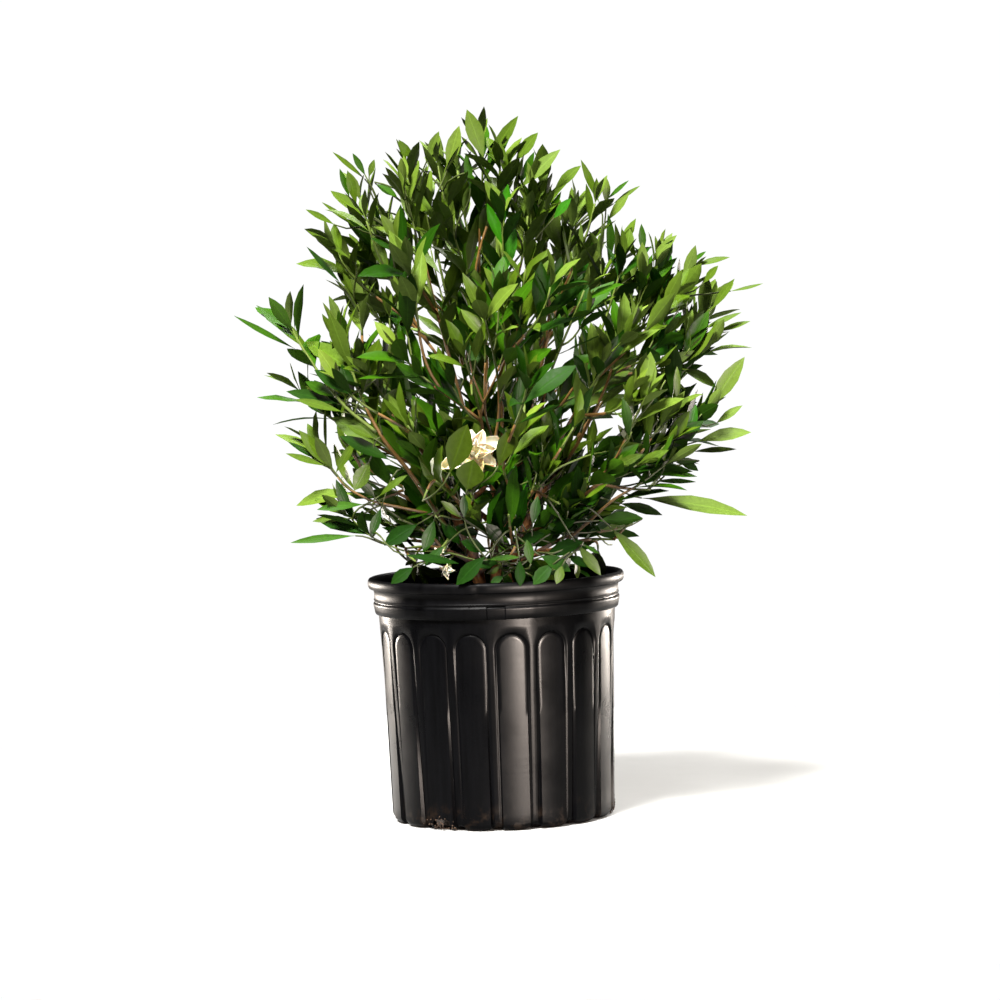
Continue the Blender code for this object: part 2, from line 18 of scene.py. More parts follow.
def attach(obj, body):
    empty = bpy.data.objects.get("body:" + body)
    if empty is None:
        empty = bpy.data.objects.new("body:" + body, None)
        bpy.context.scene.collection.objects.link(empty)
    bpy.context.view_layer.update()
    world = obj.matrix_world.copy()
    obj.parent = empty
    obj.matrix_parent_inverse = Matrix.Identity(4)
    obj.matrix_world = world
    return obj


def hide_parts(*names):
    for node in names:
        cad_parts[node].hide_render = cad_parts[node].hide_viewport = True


bl_info = {
    "name": "Potted gardenia",
    "version": (1, 0, 0),
    "blender": (4, 5, 0),
    "location": "View3D > Sidebar > Gardenia",
    "description": "Models a gardenia shrub in a fluted nursery pot, piece by piece",
    "category": "Add Mesh",
}

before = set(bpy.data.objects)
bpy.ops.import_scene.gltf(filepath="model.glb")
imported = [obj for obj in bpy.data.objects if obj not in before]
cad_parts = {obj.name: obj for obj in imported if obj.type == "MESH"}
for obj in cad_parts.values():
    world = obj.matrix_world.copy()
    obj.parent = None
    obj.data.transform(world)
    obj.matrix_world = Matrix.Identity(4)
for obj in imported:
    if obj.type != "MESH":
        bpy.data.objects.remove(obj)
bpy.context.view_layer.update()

# Pot
GAP = 0.0003
POT_HEIGHT = 0.217
PANEL_COUNT = 18
PANEL_PITCH = math.tau / PANEL_COUNT
FIRST_PANEL = math.radians(-83.4)
PANEL_FOOT_RADIUS = 0.0992
PANEL_TOP_RADIUS = 0.1040
LAND_FOOT_RADIUS = 0.0964
LAND_TOP_RADIUS = 0.1058
PANEL_FOOT_HALF = math.radians(8.0)
PANEL_TOP_HALF = math.radians(7.8)
PANEL_EDGE = math.radians(0.55)
ARCH_CROWN = 0.172
WALL_TOP = 0.1846
HEEL = 0.006
SCALLOP = 0.0034
RIM_PROFILE = (
    (0.1066, 0.1847),
    (0.1080, 0.1850),
    (0.1088, 0.1860),
    (0.1095, 0.1895),
    (0.1101, 0.1930),
    (0.1102, 0.1942),
    (0.1097, 0.1952),
    (0.1091, 0.1958),
    (0.1090, 0.1966),
    (0.1096, 0.1974),
    (0.1097, 0.1982),
    (0.1092, 0.1990),
    (0.1093, 0.2030),
    (0.1096, 0.2064),
    (0.1103, 0.2073),
    (0.1124, 0.2075),
    (0.1137, 0.2083),
    (0.1144, 0.2102),
    (0.1147, 0.2126),
    (0.1143, 0.2150),
    (0.1134, 0.2164),
    (0.1120, POT_HEIGHT),
    (0.1104, 0.2168),
    (0.1092, 0.2158),
    (0.1083, 0.2140),
    (0.1074, 0.2105),
    (0.1062, 0.1960),
    (0.1022, 0.1720),
    (0.0944, 0.0070),
    (0.0905, 0.0026),
)
BAND_TOP = 0.1960
BAND_INSIDE = 0.1075
TAB_ANGLE = math.radians(-90.3)
TAB_HALF = math.radians(3.95)
TAB_DEPTH = 0.0013
SEAMS = (math.radians(-73.4), math.radians(106.6))
DENT_ANGLE = math.radians(-97.8)
DRAIN_PANELS = (-2, 4, 10)

# Potting mix
MIX_TOP = 0.191

# Crown: every mass lies on its own direction from the heart, which is low among the stems
HEART = Vector((0.006, 0.0, 0.235))
HEIGHTS = (-15, 3, 12, 30, 45, 60, 75, 90)
LEFT_REACH = (0.120, 0.178, 0.208, 0.255, 0.345, 0.372, 0.398, 0.415)
RIGHT_REACH = (0.115, 0.180, 0.235, 0.270, 0.350, 0.355, 0.378, 0.415)
SIXTHS = ("front", "right_front", "right_back", "back", "left_back", "left_front")
EIGHTHS = (
    "front_right",
    "right_front",
    "right_back",
    "back_right",
    "back_left",
    "left_back",
    "left_front",
    "front_left",
)
FIFTHS = ("front", "right", "back_right", "back_left", "left")
LOW_RISE = math.radians(6)
MIDDLE_RISE = math.radians(30)
UPPER_RISE = math.radians(52)
CROWN_RISE = math.radians(76)
ENTRY = 0.030
ENTRY_SHARE = 0.16
UPWARD_PULL = 0.30

# Stems and boughs
STEM_RING = 0.017
STEM_OUT = 0.030
STEM_RISE = 0.078
CENTRE_STEM_RISE = 0.115
STEM_FOOT_RADIUS = 0.0058
STEM_TIP_RADIUS = 0.0040
BOUGH_ROOT_RADIUS = 0.0028
BOUGH_TIP_RADIUS = 0.0019

# Shoots
SEED = 9
SHOOT_COUNT = 3
SHOOT_FAN = {"low": 20, "middle": 14, "upper": 14, "crown": 11}
SHOOT_TRIES = (1.0, 0.75, 0.5, 0.3)
SHOOT_LEAVES = math.radians(42)
SHOOT_STARTS = (0.04, 0.48)
SHOOT_REACH = (0.80, 1.0)
SHOOT_TIP = 0.0385
TWIG_SHARE = {"low": 0.62, "middle": 0.70, "upper": 0.64, "crown": 0.62}
SPACE_MARGIN = 0.0008
LIMB_MARGIN = 0.0016

# Leaves
LEAF_ROOM = 0.030
WOOD_CLEARANCE = 0.0075
LEAF_STEPS = (0.012, 0.019, 0.026, 0.031)
LEAF_SIZES = ((0.46, 0.84), (0.78, 1.10), (0.80, 1.28))
LEAF_LEANS = ((8, 22), (20, 36), (22, 46))
SKIPPED_STEP = 0.024
BARE_TWIG = 0.010
BARE_SHARES = {"leading": 0.5, "shown": 0.42, "shoot": 0.32}
THREES = 0.35
SWAY = 0.34

# Bloom
BLOOM_AT = Vector((-0.016, -0.128, 0.328))
BLOOM_FACES = Vector((0.25, -0.90, 0.36)).normalized()
SPENT_BLOOMS = ((-0.046, -0.075, 0.243), (-0.040, -0.078, 0.229))
SPENT_FACES = Vector((-0.3, -0.7, -0.25)).normalized()
SPENT_SCALE = 0.42

# Camera
AIM = Vector((0.0062, 0, 0.2825))
CAMERA_HEIGHT = 0.42
CAMERA_ROLL = math.radians(-2)


def smooth(value):
    """Eases a share from 0 to 1."""
    value = max(0.0, min(1.0, value))
    return value * value * (3 - 2 * value)


def metres(sizes):
    """Sizes in millimetres, in metres."""
    return [size / 1000 for size in sizes]


class GardeniaPotSettings(bpy.types.PropertyGroup):
    """The nursery pot."""

    plastic: FloatVectorProperty(
        name="Plastic", description="Colour of the moulded plastic", subtype="COLOR", size=3,
        min=0, max=1, default=(0.0009, 0.0009, 0.0011),
    )
    groove: FloatProperty(
        name="Groove depth", description="How deep the line round each panel is sunk", unit="LENGTH",
        min=0, max=0.002, default=0.0007,
    )
    grit: IntProperty(
        name="Grit", description="Crumbs of soil that cling near the drain mouths",
        min=0, max=400, default=110,
    )


class GardeniaMixSettings(bpy.types.PropertyGroup):
    """The potting mix."""

    peat: FloatVectorProperty(
        name="Peat", description="Colour of the fine mix", subtype="COLOR", size=3,
        min=0, max=1, default=(0.013, 0.008, 0.005),
    )
    chips: IntProperty(
        name="Bark chips", description="Chips that lie on the mix", min=0, max=900, default=520,
    )


class GardeniaWoodSettings(bpy.types.PropertyGroup):
    """Stems, boughs and twigs."""

    bark: FloatVectorProperty(
        name="Bark", description="Colour of the woody stems", subtype="COLOR", size=3,
        min=0, max=1, default=(0.165, 0.068, 0.022),
    )
    green_wood: FloatVectorProperty(
        name="Green wood", description="Colour of the young shoots", subtype="COLOR", size=3,
        min=0, max=1, default=(0.090, 0.126, 0.019),
    )
    young_bark: FloatVectorProperty(
        name="Young bark", description="Colour of the woody part of the shoots", subtype="COLOR", size=3,
        min=0, max=1, default=(0.150, 0.078, 0.020),
    )
    relief: FloatProperty(
        name="Bark relief", description="Depth of the bark's ridges as a share of the radius",
        min=0, max=0.3, default=0.09,
    )


class GardeniaLeafSettings(bpy.types.PropertyGroup):
    """The crown's leaves."""

    length: FloatProperty(
        name="Leaf length", description="Length of a full leaf with its stalk", unit="LENGTH",
        min=0.02, max=0.09, default=0.048,
    )
    width: FloatProperty(
        name="Leaf width", description="Width of a full leaf", unit="LENGTH",
        min=0.004, max=0.03, default=0.0138,
    )
    twig_step: FloatProperty(
        name="Twig spacing", description="Distance between side twigs on a shoot", unit="LENGTH",
        min=0.01, max=0.1, default=0.040,
    )


class GardeniaBloomSettings(bpy.types.PropertyGroup):
    """The bloom and the spent blooms."""

    cream: FloatVectorProperty(
        name="Cream", description="Colour of the petals", subtype="COLOR", size=3,
        min=0, max=1, default=(0.58, 0.54, 0.42),
    )
    petal: FloatProperty(
        name="Petal length", description="Length of an outer petal", unit="LENGTH",
        min=0.005, max=0.05, default=0.025,
    )


class GardeniaStageSettings(bpy.types.PropertyGroup):
    """Floor, lights and camera."""

    floor: FloatVectorProperty(
        name="Floor", description="Colour of the floor", subtype="COLOR", size=3,
        min=0, max=1, default=(0.25, 0.25, 0.248),
    )
    floor_radius: FloatProperty(
        name="Floor radius", description="Half the round floor's width", unit="LENGTH",
        min=0.4, max=9, default=0.80,
    )
    distance: FloatProperty(
        name="Camera distance", description="From the pot's axis to the camera", unit="LENGTH",
        min=1, max=6, default=2.775,
    )
    key: FloatProperty(
        name="Key light", description="Strength of the main light", min=0, max=30, default=19.0,
    )
    fill: FloatProperty(
        name="Fill light", description="Strength of the soft light from behind", min=0, max=20, default=6.5
    )
    front: FloatProperty(
        name="Front light", description="Strength of the soft light from the front",
        min=0, max=20, default=2.2,
    )
    glint: FloatProperty(
        name="Glints", description="Power of the lamps that edge the pot", min=0, max=400, default=19
    )
    air: FloatProperty(
        name="Air", description="Strength of the light from all round", min=0, max=2, default=0.05,
    )


# Materials


class Finish:
    """A Principled material with its node tree at hand."""

    def __init__(self, name, colour, roughness, **more):
        self.material = bpy.data.materials.new(name)
        self.material.use_nodes = True
        self.material.diffuse_color = (*colour, 1)
        self.nodes = self.material.node_tree.nodes
        self.links = self.material.node_tree.links
        self.shader = self.nodes["Principled BSDF"]
        self.shader.inputs["Base Color"].default_value = (*colour, 1)
        self.shader.inputs["Roughness"].default_value = roughness
        for socket, value in more.items():
            self.shader.inputs[socket.replace("_", " ")].default_value = value
        self.place = self.nodes.new("ShaderNodeTexCoord").outputs["Object"]

    def scaled(self, scale):
        """Object coordinates stretched by three factors."""
        mapping = self.nodes.new("ShaderNodeMapping")
        mapping.inputs["Scale"].default_value = scale
        self.links.new(self.place, mapping.inputs["Vector"])
        return mapping.outputs["Vector"]

    def noise(self, scale, detail=3, roughness=0.55, source=None):
        made = self.nodes.new("ShaderNodeTexNoise")
        made.inputs["Scale"].default_value = scale
        made.inputs["Detail"].default_value = detail
        made.inputs["Roughness"].default_value = roughness
        self.links.new(source or self.place, made.inputs["Vector"])
        return made.outputs["Fac"]

    def ramp(self, value, *stops):
        made = self.nodes.new("ShaderNodeValToRGB")
        elements = made.color_ramp.elements
        while len(elements) < len(stops):
            elements.new(0.5)
        for element, (position, colour) in zip(elements, stops):
            element.position = position
            element.color = (*colour, 1)
        self.links.new(value, made.inputs["Fac"])
        return made.outputs["Color"]

    def spread(self, value, low, high, start=0.3, end=0.7):
        """Maps a pattern's middle range onto low to high."""
        made = self.nodes.new("ShaderNodeMapRange")
        made.inputs["From Min"].default_value = start
        made.inputs["From Max"].default_value = end
        made.inputs["To Min"].default_value = low
        made.inputs["To Max"].default_value = high
        self.links.new(value, made.inputs["Value"])
        return made.outputs["Result"]

    def math(self, operation, first, second):
        made = self.nodes.new("ShaderNodeMath")
        made.operation = operation
        for socket, value in zip(made.inputs, (first, second)):
            if isinstance(value, (int, float)):
                socket.default_value = value
            else:
                self.links.new(value, socket)
        return made.outputs["Value"]

    def mix(self, share, first, second):
        made = self.nodes.new("ShaderNodeMix")
        made.data_type = "RGBA"
        self.links.new(share, made.inputs["Factor"])
        for socket, value in ((made.inputs["A"], first), (made.inputs["B"], second)):
            if isinstance(value, tuple):
                socket.default_value = (*value, 1)
            else:
                self.links.new(value, socket)
        return made.outputs["Result"]

    def colour(self, value):
        self.links.new(value, self.shader.inputs["Base Color"])

    def rough(self, value):
        self.links.new(value, self.shader.inputs["Roughness"])

    def bump(self, *reliefs):
        """Stacks (height, strength, distance) reliefs onto the normal."""
        below = None
        for height, strength, distance in reliefs:
            made = self.nodes.new("ShaderNodeBump")
            made.inputs["Strength"].default_value = strength
            made.inputs["Distance"].default_value = distance
            self.links.new(height, made.inputs["Height"])
            if below:
                self.links.new(below, made.inputs["Normal"])
            below = made.outputs["Normal"]
        self.links.new(below, self.shader.inputs["Normal"])


def shade(colour, factor):
    return tuple(min(1.0, c * factor) for c in colour)


def pot_finish(settings):
    """Satin black plastic: mould flow lines, rubbed patches, a film of dried water and soil at the foot."""
    base = tuple(settings.plastic)
    made = Finish("pot_plastic_moulded", base, 0.4, Specular_IOR_Level=0.032)
    flow = made.noise(1, 4, 0.6, made.scaled((210, 210, 14)))
    rubbed = made.noise(26, 5, 0.62)
    film = made.noise(9, 4, 0.7)
    plain = made.mix(made.spread(flow, 0, 1), shade(base, 0.75), shade(base, 1.7))
    filmed = made.mix(made.spread(film, 0, 0.30, 0.56, 0.80), plain, (0.0030, 0.0025, 0.0022))
    height = made.nodes.new("ShaderNodeSeparateXYZ")
    made.links.new(made.place, height.inputs["Vector"])
    low = made.spread(height.outputs["Z"], 1.0, 0.0, 0.001, 0.026)
    soil = made.math("MULTIPLY", low, made.spread(made.noise(75, 6, 0.7), 0, 1, 0.50, 0.64))
    made.colour(made.mix(made.math("MULTIPLY", soil, 0.45), filmed, (0.026, 0.014, 0.007)))
    dull = made.spread(height.outputs["Z"], 0.0, 0.12, 0.182, 0.200)
    gloss = made.math("ADD", made.spread(rubbed, 0.25, 0.36, 0.3, 0.7), made.math("MULTIPLY", soil, 0.4))
    made.rough(made.math("ADD", gloss, dull))
    lines = made.noise(1, 2, 0.5, made.scaled((5, 5, 620)))
    grain = made.noise(1500, 2)
    made.bump((lines, 0.10, 0.0002), (grain, 0.12, 0.0002), (rubbed, 0.10, 0.0006))
    return made.material


def mix_finish(settings):
    base = tuple(settings.peat)
    made = Finish("potting_mix_peat", base, 0.95)
    crumbs = made.noise(420, 6, 0.7)
    patches = made.noise(48, 3)
    fine = made.ramp(crumbs, (0.30, shade(base, 0.4)), (0.52, base), (0.72, shade(base, 2.8)))
    made.colour(made.mix(made.spread(patches, 0, 0.6), fine, shade(base, 1.9)))
    made.bump((crumbs, 0.9, 0.0016), (patches, 0.4, 0.003))
    return made.material


def chip_finish():
    made = Finish("bark_chips", (0.034, 0.018, 0.010), 0.88, Specular_IOR_Level=0.15)
    tone = made.noise(60, 3)
    grain = made.noise(1, 5, 0.65, made.scaled((900, 260, 500)))
    tones = made.ramp(
        tone, (0.30, (0.012, 0.007, 0.004)), (0.48, (0.035, 0.018, 0.009)), (0.62, (0.060, 0.032, 0.016)),
        (0.78, (0.050, 0.040, 0.030)),
    )
    made.colour(made.mix(made.spread(grain, 0.0, 0.65), tones, (0.007, 0.004, 0.003)))
    made.bump((grain, 0.8, 0.0008))
    return made.material


def bark_finish(settings):
    """Thin orange-brown bark with grey flakes and dark cracks that run along the stem."""
    base = tuple(settings.bark)
    made = Finish("bark_stem", base, 0.78, Specular_IOR_Level=0.15)
    flakes = made.noise(120, 5, 0.6)
    cracks = made.noise(1, 6, 0.68, made.scaled((620, 620, 90)))
    tones = made.ramp(
        flakes, (0.28, shade(base, 0.45)), (0.46, base), (0.60, shade(base, 1.5)),
        (0.74, (0.200, 0.165, 0.125)),
    )
    made.colour(made.mix(made.spread(cracks, 0.0, 0.85, 0.50, 0.66), tones, shade(base, 0.28)))
    made.bump((cracks, 0.9, 0.0008), (flakes, 0.5, 0.0006))
    return made.material


def twig_finish(name, base, dark):
    made = Finish(name, base, 0.6, Specular_IOR_Level=0.12)
    spots = made.noise(260, 4, 0.6)
    length = made.noise(22, 2)
    tones = made.ramp(spots, (0.30, shade(base, 0.7)), (0.55, base), (0.75, shade(base, 1.35)))
    made.colour(made.mix(made.spread(length, 0.0, 0.8), tones, dark))
    made.bump((spots, 0.4, 0.0004))
    return made.material


def vein_pattern(made):
    """Height of the veins that run off a leaf's midrib, from the leaf's own map."""
    uv = made.nodes.new("ShaderNodeUVMap")
    uv.uv_map = "leaf"
    split = made.nodes.new("ShaderNodeSeparateXYZ")
    made.links.new(uv.outputs["UV"], split.inputs["Vector"])
    off = made.math("ABSOLUTE", made.math("SUBTRACT", split.outputs["X"], 0.5), 0)
    climb = made.math("SUBTRACT", split.outputs["Y"], made.math("MULTIPLY", off, 0.36))
    veins = made.math("SINE", made.math("MULTIPLY", climb, 56.0), 0)
    ridge = made.math("POWER", made.math("ABSOLUTE", veins, 0), 0.35)
    midrib = made.spread(off, 1.0, 0.0, 0.0, 0.07)
    return ridge, midrib


def leaf_finish(name, base, roughness, gloss):
    """Leaf skin: fine mottling, a drift of tone through the crown, and pressed-in veins."""
    made = Finish(name, base, roughness, Specular_IOR_Level=gloss)
    mottle = made.noise(320, 4, 0.6)
    drift = made.noise(17, 2)
    fine = made.ramp(mottle, (0.28, shade(base, 0.80)), (0.52, base), (0.76, shade(base, 1.22)))
    warm = (base[0] * 1.12, base[1] * 1.04, base[2] * 0.8)
    ridge, midrib = vein_pattern(made)
    skin = made.mix(made.spread(drift, 0.0, 0.7), fine, warm)
    made.colour(made.mix(made.math("MULTIPLY", midrib, 0.45), skin, shade(base, 1.7)))
    made.rough(made.spread(mottle, roughness - 0.06, roughness + 0.08))
    made.bump((ridge, 0.14, 0.00020), (midrib, 0.3, 0.0004))
    return made.material


def petal_finish(settings):
    base = tuple(settings.cream)
    made = Finish("petal_cream", base, 0.55, Subsurface_Weight=0.15, Subsurface_Scale=0.004)
    wilt = made.noise(70, 4, 0.6)
    streaks = made.noise(1, 4, 0.6, made.scaled((500, 500, 120)))
    tones = made.ramp(
        wilt, (0.34, base), (0.50, shade(base, 1.0)), (0.62, (0.56, 0.47, 0.16)), (0.80, (0.28, 0.18, 0.06))
    )
    made.colour(made.mix(made.spread(streaks, 0.0, 0.25), tones, (0.48, 0.42, 0.26)))
    made.bump((streaks, 0.5, 0.0006))
    return made.material


def floor_finish(settings):
    base = tuple(settings.floor)
    made = Finish("floor_paper", base, 0.9)
    fibre = made.noise(40, 4)
    made.colour(made.mix(made.spread(fibre, 0, 1), shade(base, 0.985), shade(base, 1.01)))
    made.bump((fibre, 0.05, 0.001))
    return made.material


# Shared makers


def in_scene(name, data):
    """An object of its own in the scene."""
    obj = bpy.data.objects.new(name, data)
    bpy.context.scene.collection.objects.link(obj)
    return obj


def add_piece(name, mesh, materials, nodes=()):
    """Links a mesh as a piece that rides with the plant, and stands for solids."""
    for made in materials:
        mesh.materials.append(made)
    obj = in_scene(name, mesh)
    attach(obj, "root")
    if nodes:
        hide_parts(*nodes)
    return obj


def mesh_from(name, bm, angle=None):
    mesh = bpy.data.meshes.new(name)
    bm.to_mesh(mesh)
    bm.free()
    mesh.shade_smooth()
    if angle:
        mesh.set_sharp_from_angle(angle=math.radians(angle))
    return mesh


def shape_of(bm):
    """A small shape's points as an array and its faces as index lists."""
    bm.verts.ensure_lookup_table()
    points = np.array([v.co for v in bm.verts])
    faces = [[v.index for v in f.verts] for f in bm.faces]
    return points, faces


def joined_mesh(name, copies, faces):
    """One mesh from many copies of a shape. copies is (how many, points, 3); faces index one copy."""
    count, points = copies.shape[:2]
    sizes = np.array([len(f) for f in faces])
    corners = np.concatenate([np.array(f) for f in faces])
    starts = np.concatenate(([0], np.cumsum(np.tile(sizes, count))[:-1]))
    loops = (corners[None, :] + (np.arange(count) * points)[:, None]).ravel()
    mesh = bpy.data.meshes.new(name)
    mesh.vertices.add(count * points)
    mesh.vertices.foreach_set("co", copies.astype(np.float32).ravel())
    mesh.loops.add(len(loops))
    mesh.loops.foreach_set("vertex_index", loops.astype(np.int32))
    mesh.polygons.add(len(starts))
    mesh.polygons.foreach_set("loop_start", starts.astype(np.int32))
    mesh.update(calc_edges=True)
    mesh.shade_smooth()
    return mesh


def nodes_of(*starts):
    return [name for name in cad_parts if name.startswith(starts)]


# The pot


def land_radius(z):
    return LAND_FOOT_RADIUS + (LAND_TOP_RADIUS - LAND_FOOT_RADIUS) * z / WALL_TOP


def panel_radius(z):
    return PANEL_FOOT_RADIUS + (PANEL_TOP_RADIUS - PANEL_FOOT_RADIUS) * z / ARCH_CROWN


def heel_inset(z):
    """How far the rounded heel draws the wall in at a height."""
    return HEEL - math.sqrt(max(0.0, HEEL**2 - (HEEL - z) ** 2)) if z < HEEL else 0.0


def panel_half(z):
    """Half a panel's angle, out to the middle of the step at its edge."""
    share = min(1.0, z / ARCH_CROWN)
    return PANEL_FOOT_HALF + (PANEL_TOP_HALF - PANEL_FOOT_HALF) * share + PANEL_EDGE / 2


SPRING = ARCH_CROWN - PANEL_TOP_HALF * PANEL_TOP_RADIUS
EDGE_DEPTHS = (-0.0011, -0.0005, 0.0, 0.0005, 0.0010, 0.0016, 0.0024)
OUTER_SHARES = (1.0, 0.5)
INNER_SHARES = (0.2, 0.45, 0.72, 1.0)


def wall_stations():
    """Stations along a panel's outline: heights up its straight edges and turns over its arch."""
    heel = [HEEL * (1 - math.cos(math.radians(a))) for a in (0, 18, 36, 54, 72)]
    rise = [HEEL + (SPRING - HEEL) * i / 18 for i in range(18)]
    corner = math.atan2(WALL_TOP - SPRING, PANEL_PITCH / 2 * land_radius(SPRING))
    turns = [corner * i / 9 for i in range(9)]
    turns += [corner + (math.pi / 2 - corner) * i / 8 for i in range(8)]
    half = [("side", z) for z in heel + rise] + [("arch", a) for a in turns]
    left = [(-1, kind, value) for kind, value in half]
    right = [(1, kind, value) for kind, value in reversed(half)]
    return left + [(1, "arch", math.pi / 2)] + right


def wall_place(station, column):
    """Angle, height and depth into the panel at a station and a column across the outline."""
    side, kind, value = station
    zone, share = column
    radius = land_radius(value if kind == "side" else SPRING)
    half = panel_half(value if kind == "side" else SPRING) * radius
    if kind == "side":
        room = PANEL_PITCH / 2 * radius - half
    else:
        across = PANEL_PITCH / 2 * radius / max(1e-9, math.cos(value))
        upward = (WALL_TOP - SPRING) / max(1e-9, math.sin(value))
        room = min(across, upward) - half
    first, last = EDGE_DEPTHS[0], EDGE_DEPTHS[-1]
    if zone == "land":
        depth = first - (room + first) * share
    elif zone == "edge":
        depth = share
    else:
        depth = last + (half - last) * share
    out = half - depth
    if kind == "side":
        return side * out / radius, value, depth
    return side * out * math.cos(value) / radius, SPRING + out * math.sin(value), depth


def wall_point(angle, z, depth, groove):
    """The wall's surface: land, a groove along the outline, and the panel's face."""
    land, face = land_radius(z), panel_radius(z)
    sunk = min(land, face) - groove
    down = smooth((depth + 0.0011) / 0.0021)
    back = smooth((depth - 0.0010) / 0.0014)
    radius = land + (sunk - land) * down + (face - sunk) * back - heel_inset(z)
    lift = SCALLOP * abs(angle / PANEL_PITCH * 2) ** 2.2 * max(0.0, 1 - z / 0.014)
    return Matrix.Rotation(angle, 3, "Z") @ Vector((radius, 0, z + lift))


def pot_wall(bm, groove):
    """One panel's cell shaped from a grid and repeated round the pot."""
    stations = wall_stations()
    columns = [("land", s) for s in OUTER_SHARES] + [("edge", d) for d in EDGE_DEPTHS]
    columns += [("face", s) for s in INNER_SHARES]
    wide, tall = len(columns) - 1, len(stations) - 1
    verts = bmesh.ops.create_grid(bm, x_segments=wide, y_segments=tall, size=1)["verts"]
    for v in verts:
        column = columns[round((v.co.x + 1) / 2 * wide)]
        station = stations[round((v.co.y + 1) / 2 * tall)]
        v.co = wall_point(*wall_place(station, column), groove)
    bmesh.ops.remove_doubles(bm, verts=bm.verts, dist=1e-6)
    bmesh.ops.spin(
        bm, geom=bm.verts[:] + bm.edges[:] + bm.faces[:], cent=(0, 0, 0), axis=(0, 0, 1),
        steps=PANEL_COUNT - 1, angle=PANEL_PITCH * (PANEL_COUNT - 1), use_duplicate=True,
    )
    bmesh.ops.remove_doubles(bm, verts=bm.verts, dist=2e-5)
    bmesh.ops.rotate(bm, cent=(0, 0, 0), matrix=Matrix.Rotation(FIRST_PANEL, 3, "Z"), verts=bm.verts)


def grown(bm, edges, reshape):
    """Extrudes a loop and moves the new points. Returns the new loop."""
    geometry = bmesh.ops.extrude_edge_only(bm, edges=edges)["geom"]
    for v in geometry:
        if isinstance(v, bmesh.types.BMVert):
            v.co = reshape(v.co)
    return [e for e in geometry if isinstance(e, bmesh.types.BMEdge)]


def set_to(radius, z):
    def reshape(co):
        flat = Vector((co.x, co.y, 0)).normalized() * radius
        return flat + Vector((0, 0, z))

    return reshape


def turned_from(co, angle):
    """Signed turn from an angle to a point, in radians."""
    away = math.atan2(co.y, co.x) - angle
    return math.atan2(math.sin(away), math.cos(away))


def cut_band(bm, angle):
    """Cuts an edge down the raised band at one angle."""
    middles = [(f, f.calc_center_median()) for f in bm.faces]
    near = [f for f, middle in middles if in_band(middle) and abs(turned_from(middle, angle)) < 0.1]
    geometry = set(near)
    for f in near:
        geometry.update(f.verts)
        geometry.update(f.edges)
    normal = Matrix.Rotation(angle + math.pi / 2, 3, "Z") @ Vector((1, 0, 0))
    bmesh.ops.bisect_plane(bm, geom=list(geometry), dist=1e-6, plane_co=(0, 0, 0), plane_no=normal)


def in_band(co):
    return WALL_TOP < co.z < BAND_TOP and math.hypot(co.x, co.y) > BAND_INSIDE


def mould_marks(bm):
    """The tab sunk in the raised band, the two mould seams, and a dent in the lip."""
    for turn in (-TAB_HALF - 0.008, -TAB_HALF, TAB_HALF, TAB_HALF + 0.008):
        cut_band(bm, TAB_ANGLE + turn)
    for v in bm.verts:
        radius = math.hypot(v.co.x, v.co.y)
        away = abs(turned_from(v.co, TAB_ANGLE))
        if in_band(v.co) and away < TAB_HALF + 0.001:
            v.co -= Vector((v.co.x, v.co.y, 0)).normalized() * TAB_DEPTH
        if radius > land_radius(v.co.z) - 0.001 and v.co.z > HEEL:
            if min(abs(turned_from(v.co, seam)) for seam in SEAMS) < 0.003:
                v.co += Vector((v.co.x, v.co.y, 0)).normalized() * 0.00022
        dent = abs(turned_from(v.co, DENT_ANGLE))
        if dent < 0.06 and radius > 0.1095 and v.co.z > 0.2065:
            v.co += Vector((v.co.x, v.co.y, 0)).normalized() * -0.0011 * (1 - smooth(dent / 0.06))
        sway = noise.noise(Vector((v.co.x, v.co.y, 0)) * 22 + Vector((0, 0, v.co.z * 9)))
        v.co += Vector((v.co.x, v.co.y, 0)) * 0.0035 * sway * smooth(v.co.z / 0.05)


def drain_cutter(angle):
    """A rounded wedge through the heel at one drain mouth."""
    bm = bmesh.new()
    bmesh.ops.create_cube(bm, size=1)
    upright = [e for e in bm.edges if abs(e.verts[0].co.x - e.verts[1].co.x) > 0.5 and e.verts[0].co.z > 0]
    bmesh.ops.bevel(bm, geom=upright, offset=0.2, segments=4, profile=0.5, affect="EDGES", material=-1)
    place = Matrix.Rotation(angle, 4, "Z") @ Matrix.Translation((PANEL_FOOT_RADIUS, 0, 0))
    bmesh.ops.transform(bm, matrix=place @ Matrix.Diagonal((0.020, 0.018, 0.020, 1)), verts=bm.verts)
    bmesh.ops.recalc_face_normals(bm, faces=bm.faces)
    return in_scene("drain_cutter", mesh_from("drain_cutter", bm))


def cut_drains(pot):
    """Takes the drain mouths out of the pot and applies the cuts."""
    cutters = [drain_cutter(FIRST_PANEL + panel * PANEL_PITCH) for panel in DRAIN_PANELS]
    for cutter in cutters:
        cut = pot.modifiers.new("drain", "BOOLEAN")
        cut.operation = "DIFFERENCE"
        cut.solver = "EXACT"
        cut.object = cutter
    bpy.context.view_layer.update()
    graph = bpy.context.evaluated_depsgraph_get()
    mesh = bpy.data.meshes.new_from_object(pot.evaluated_get(graph))
    pot.modifiers.clear()
    pot.data = mesh
    for cutter in cutters:
        bpy.data.objects.remove(cutter)


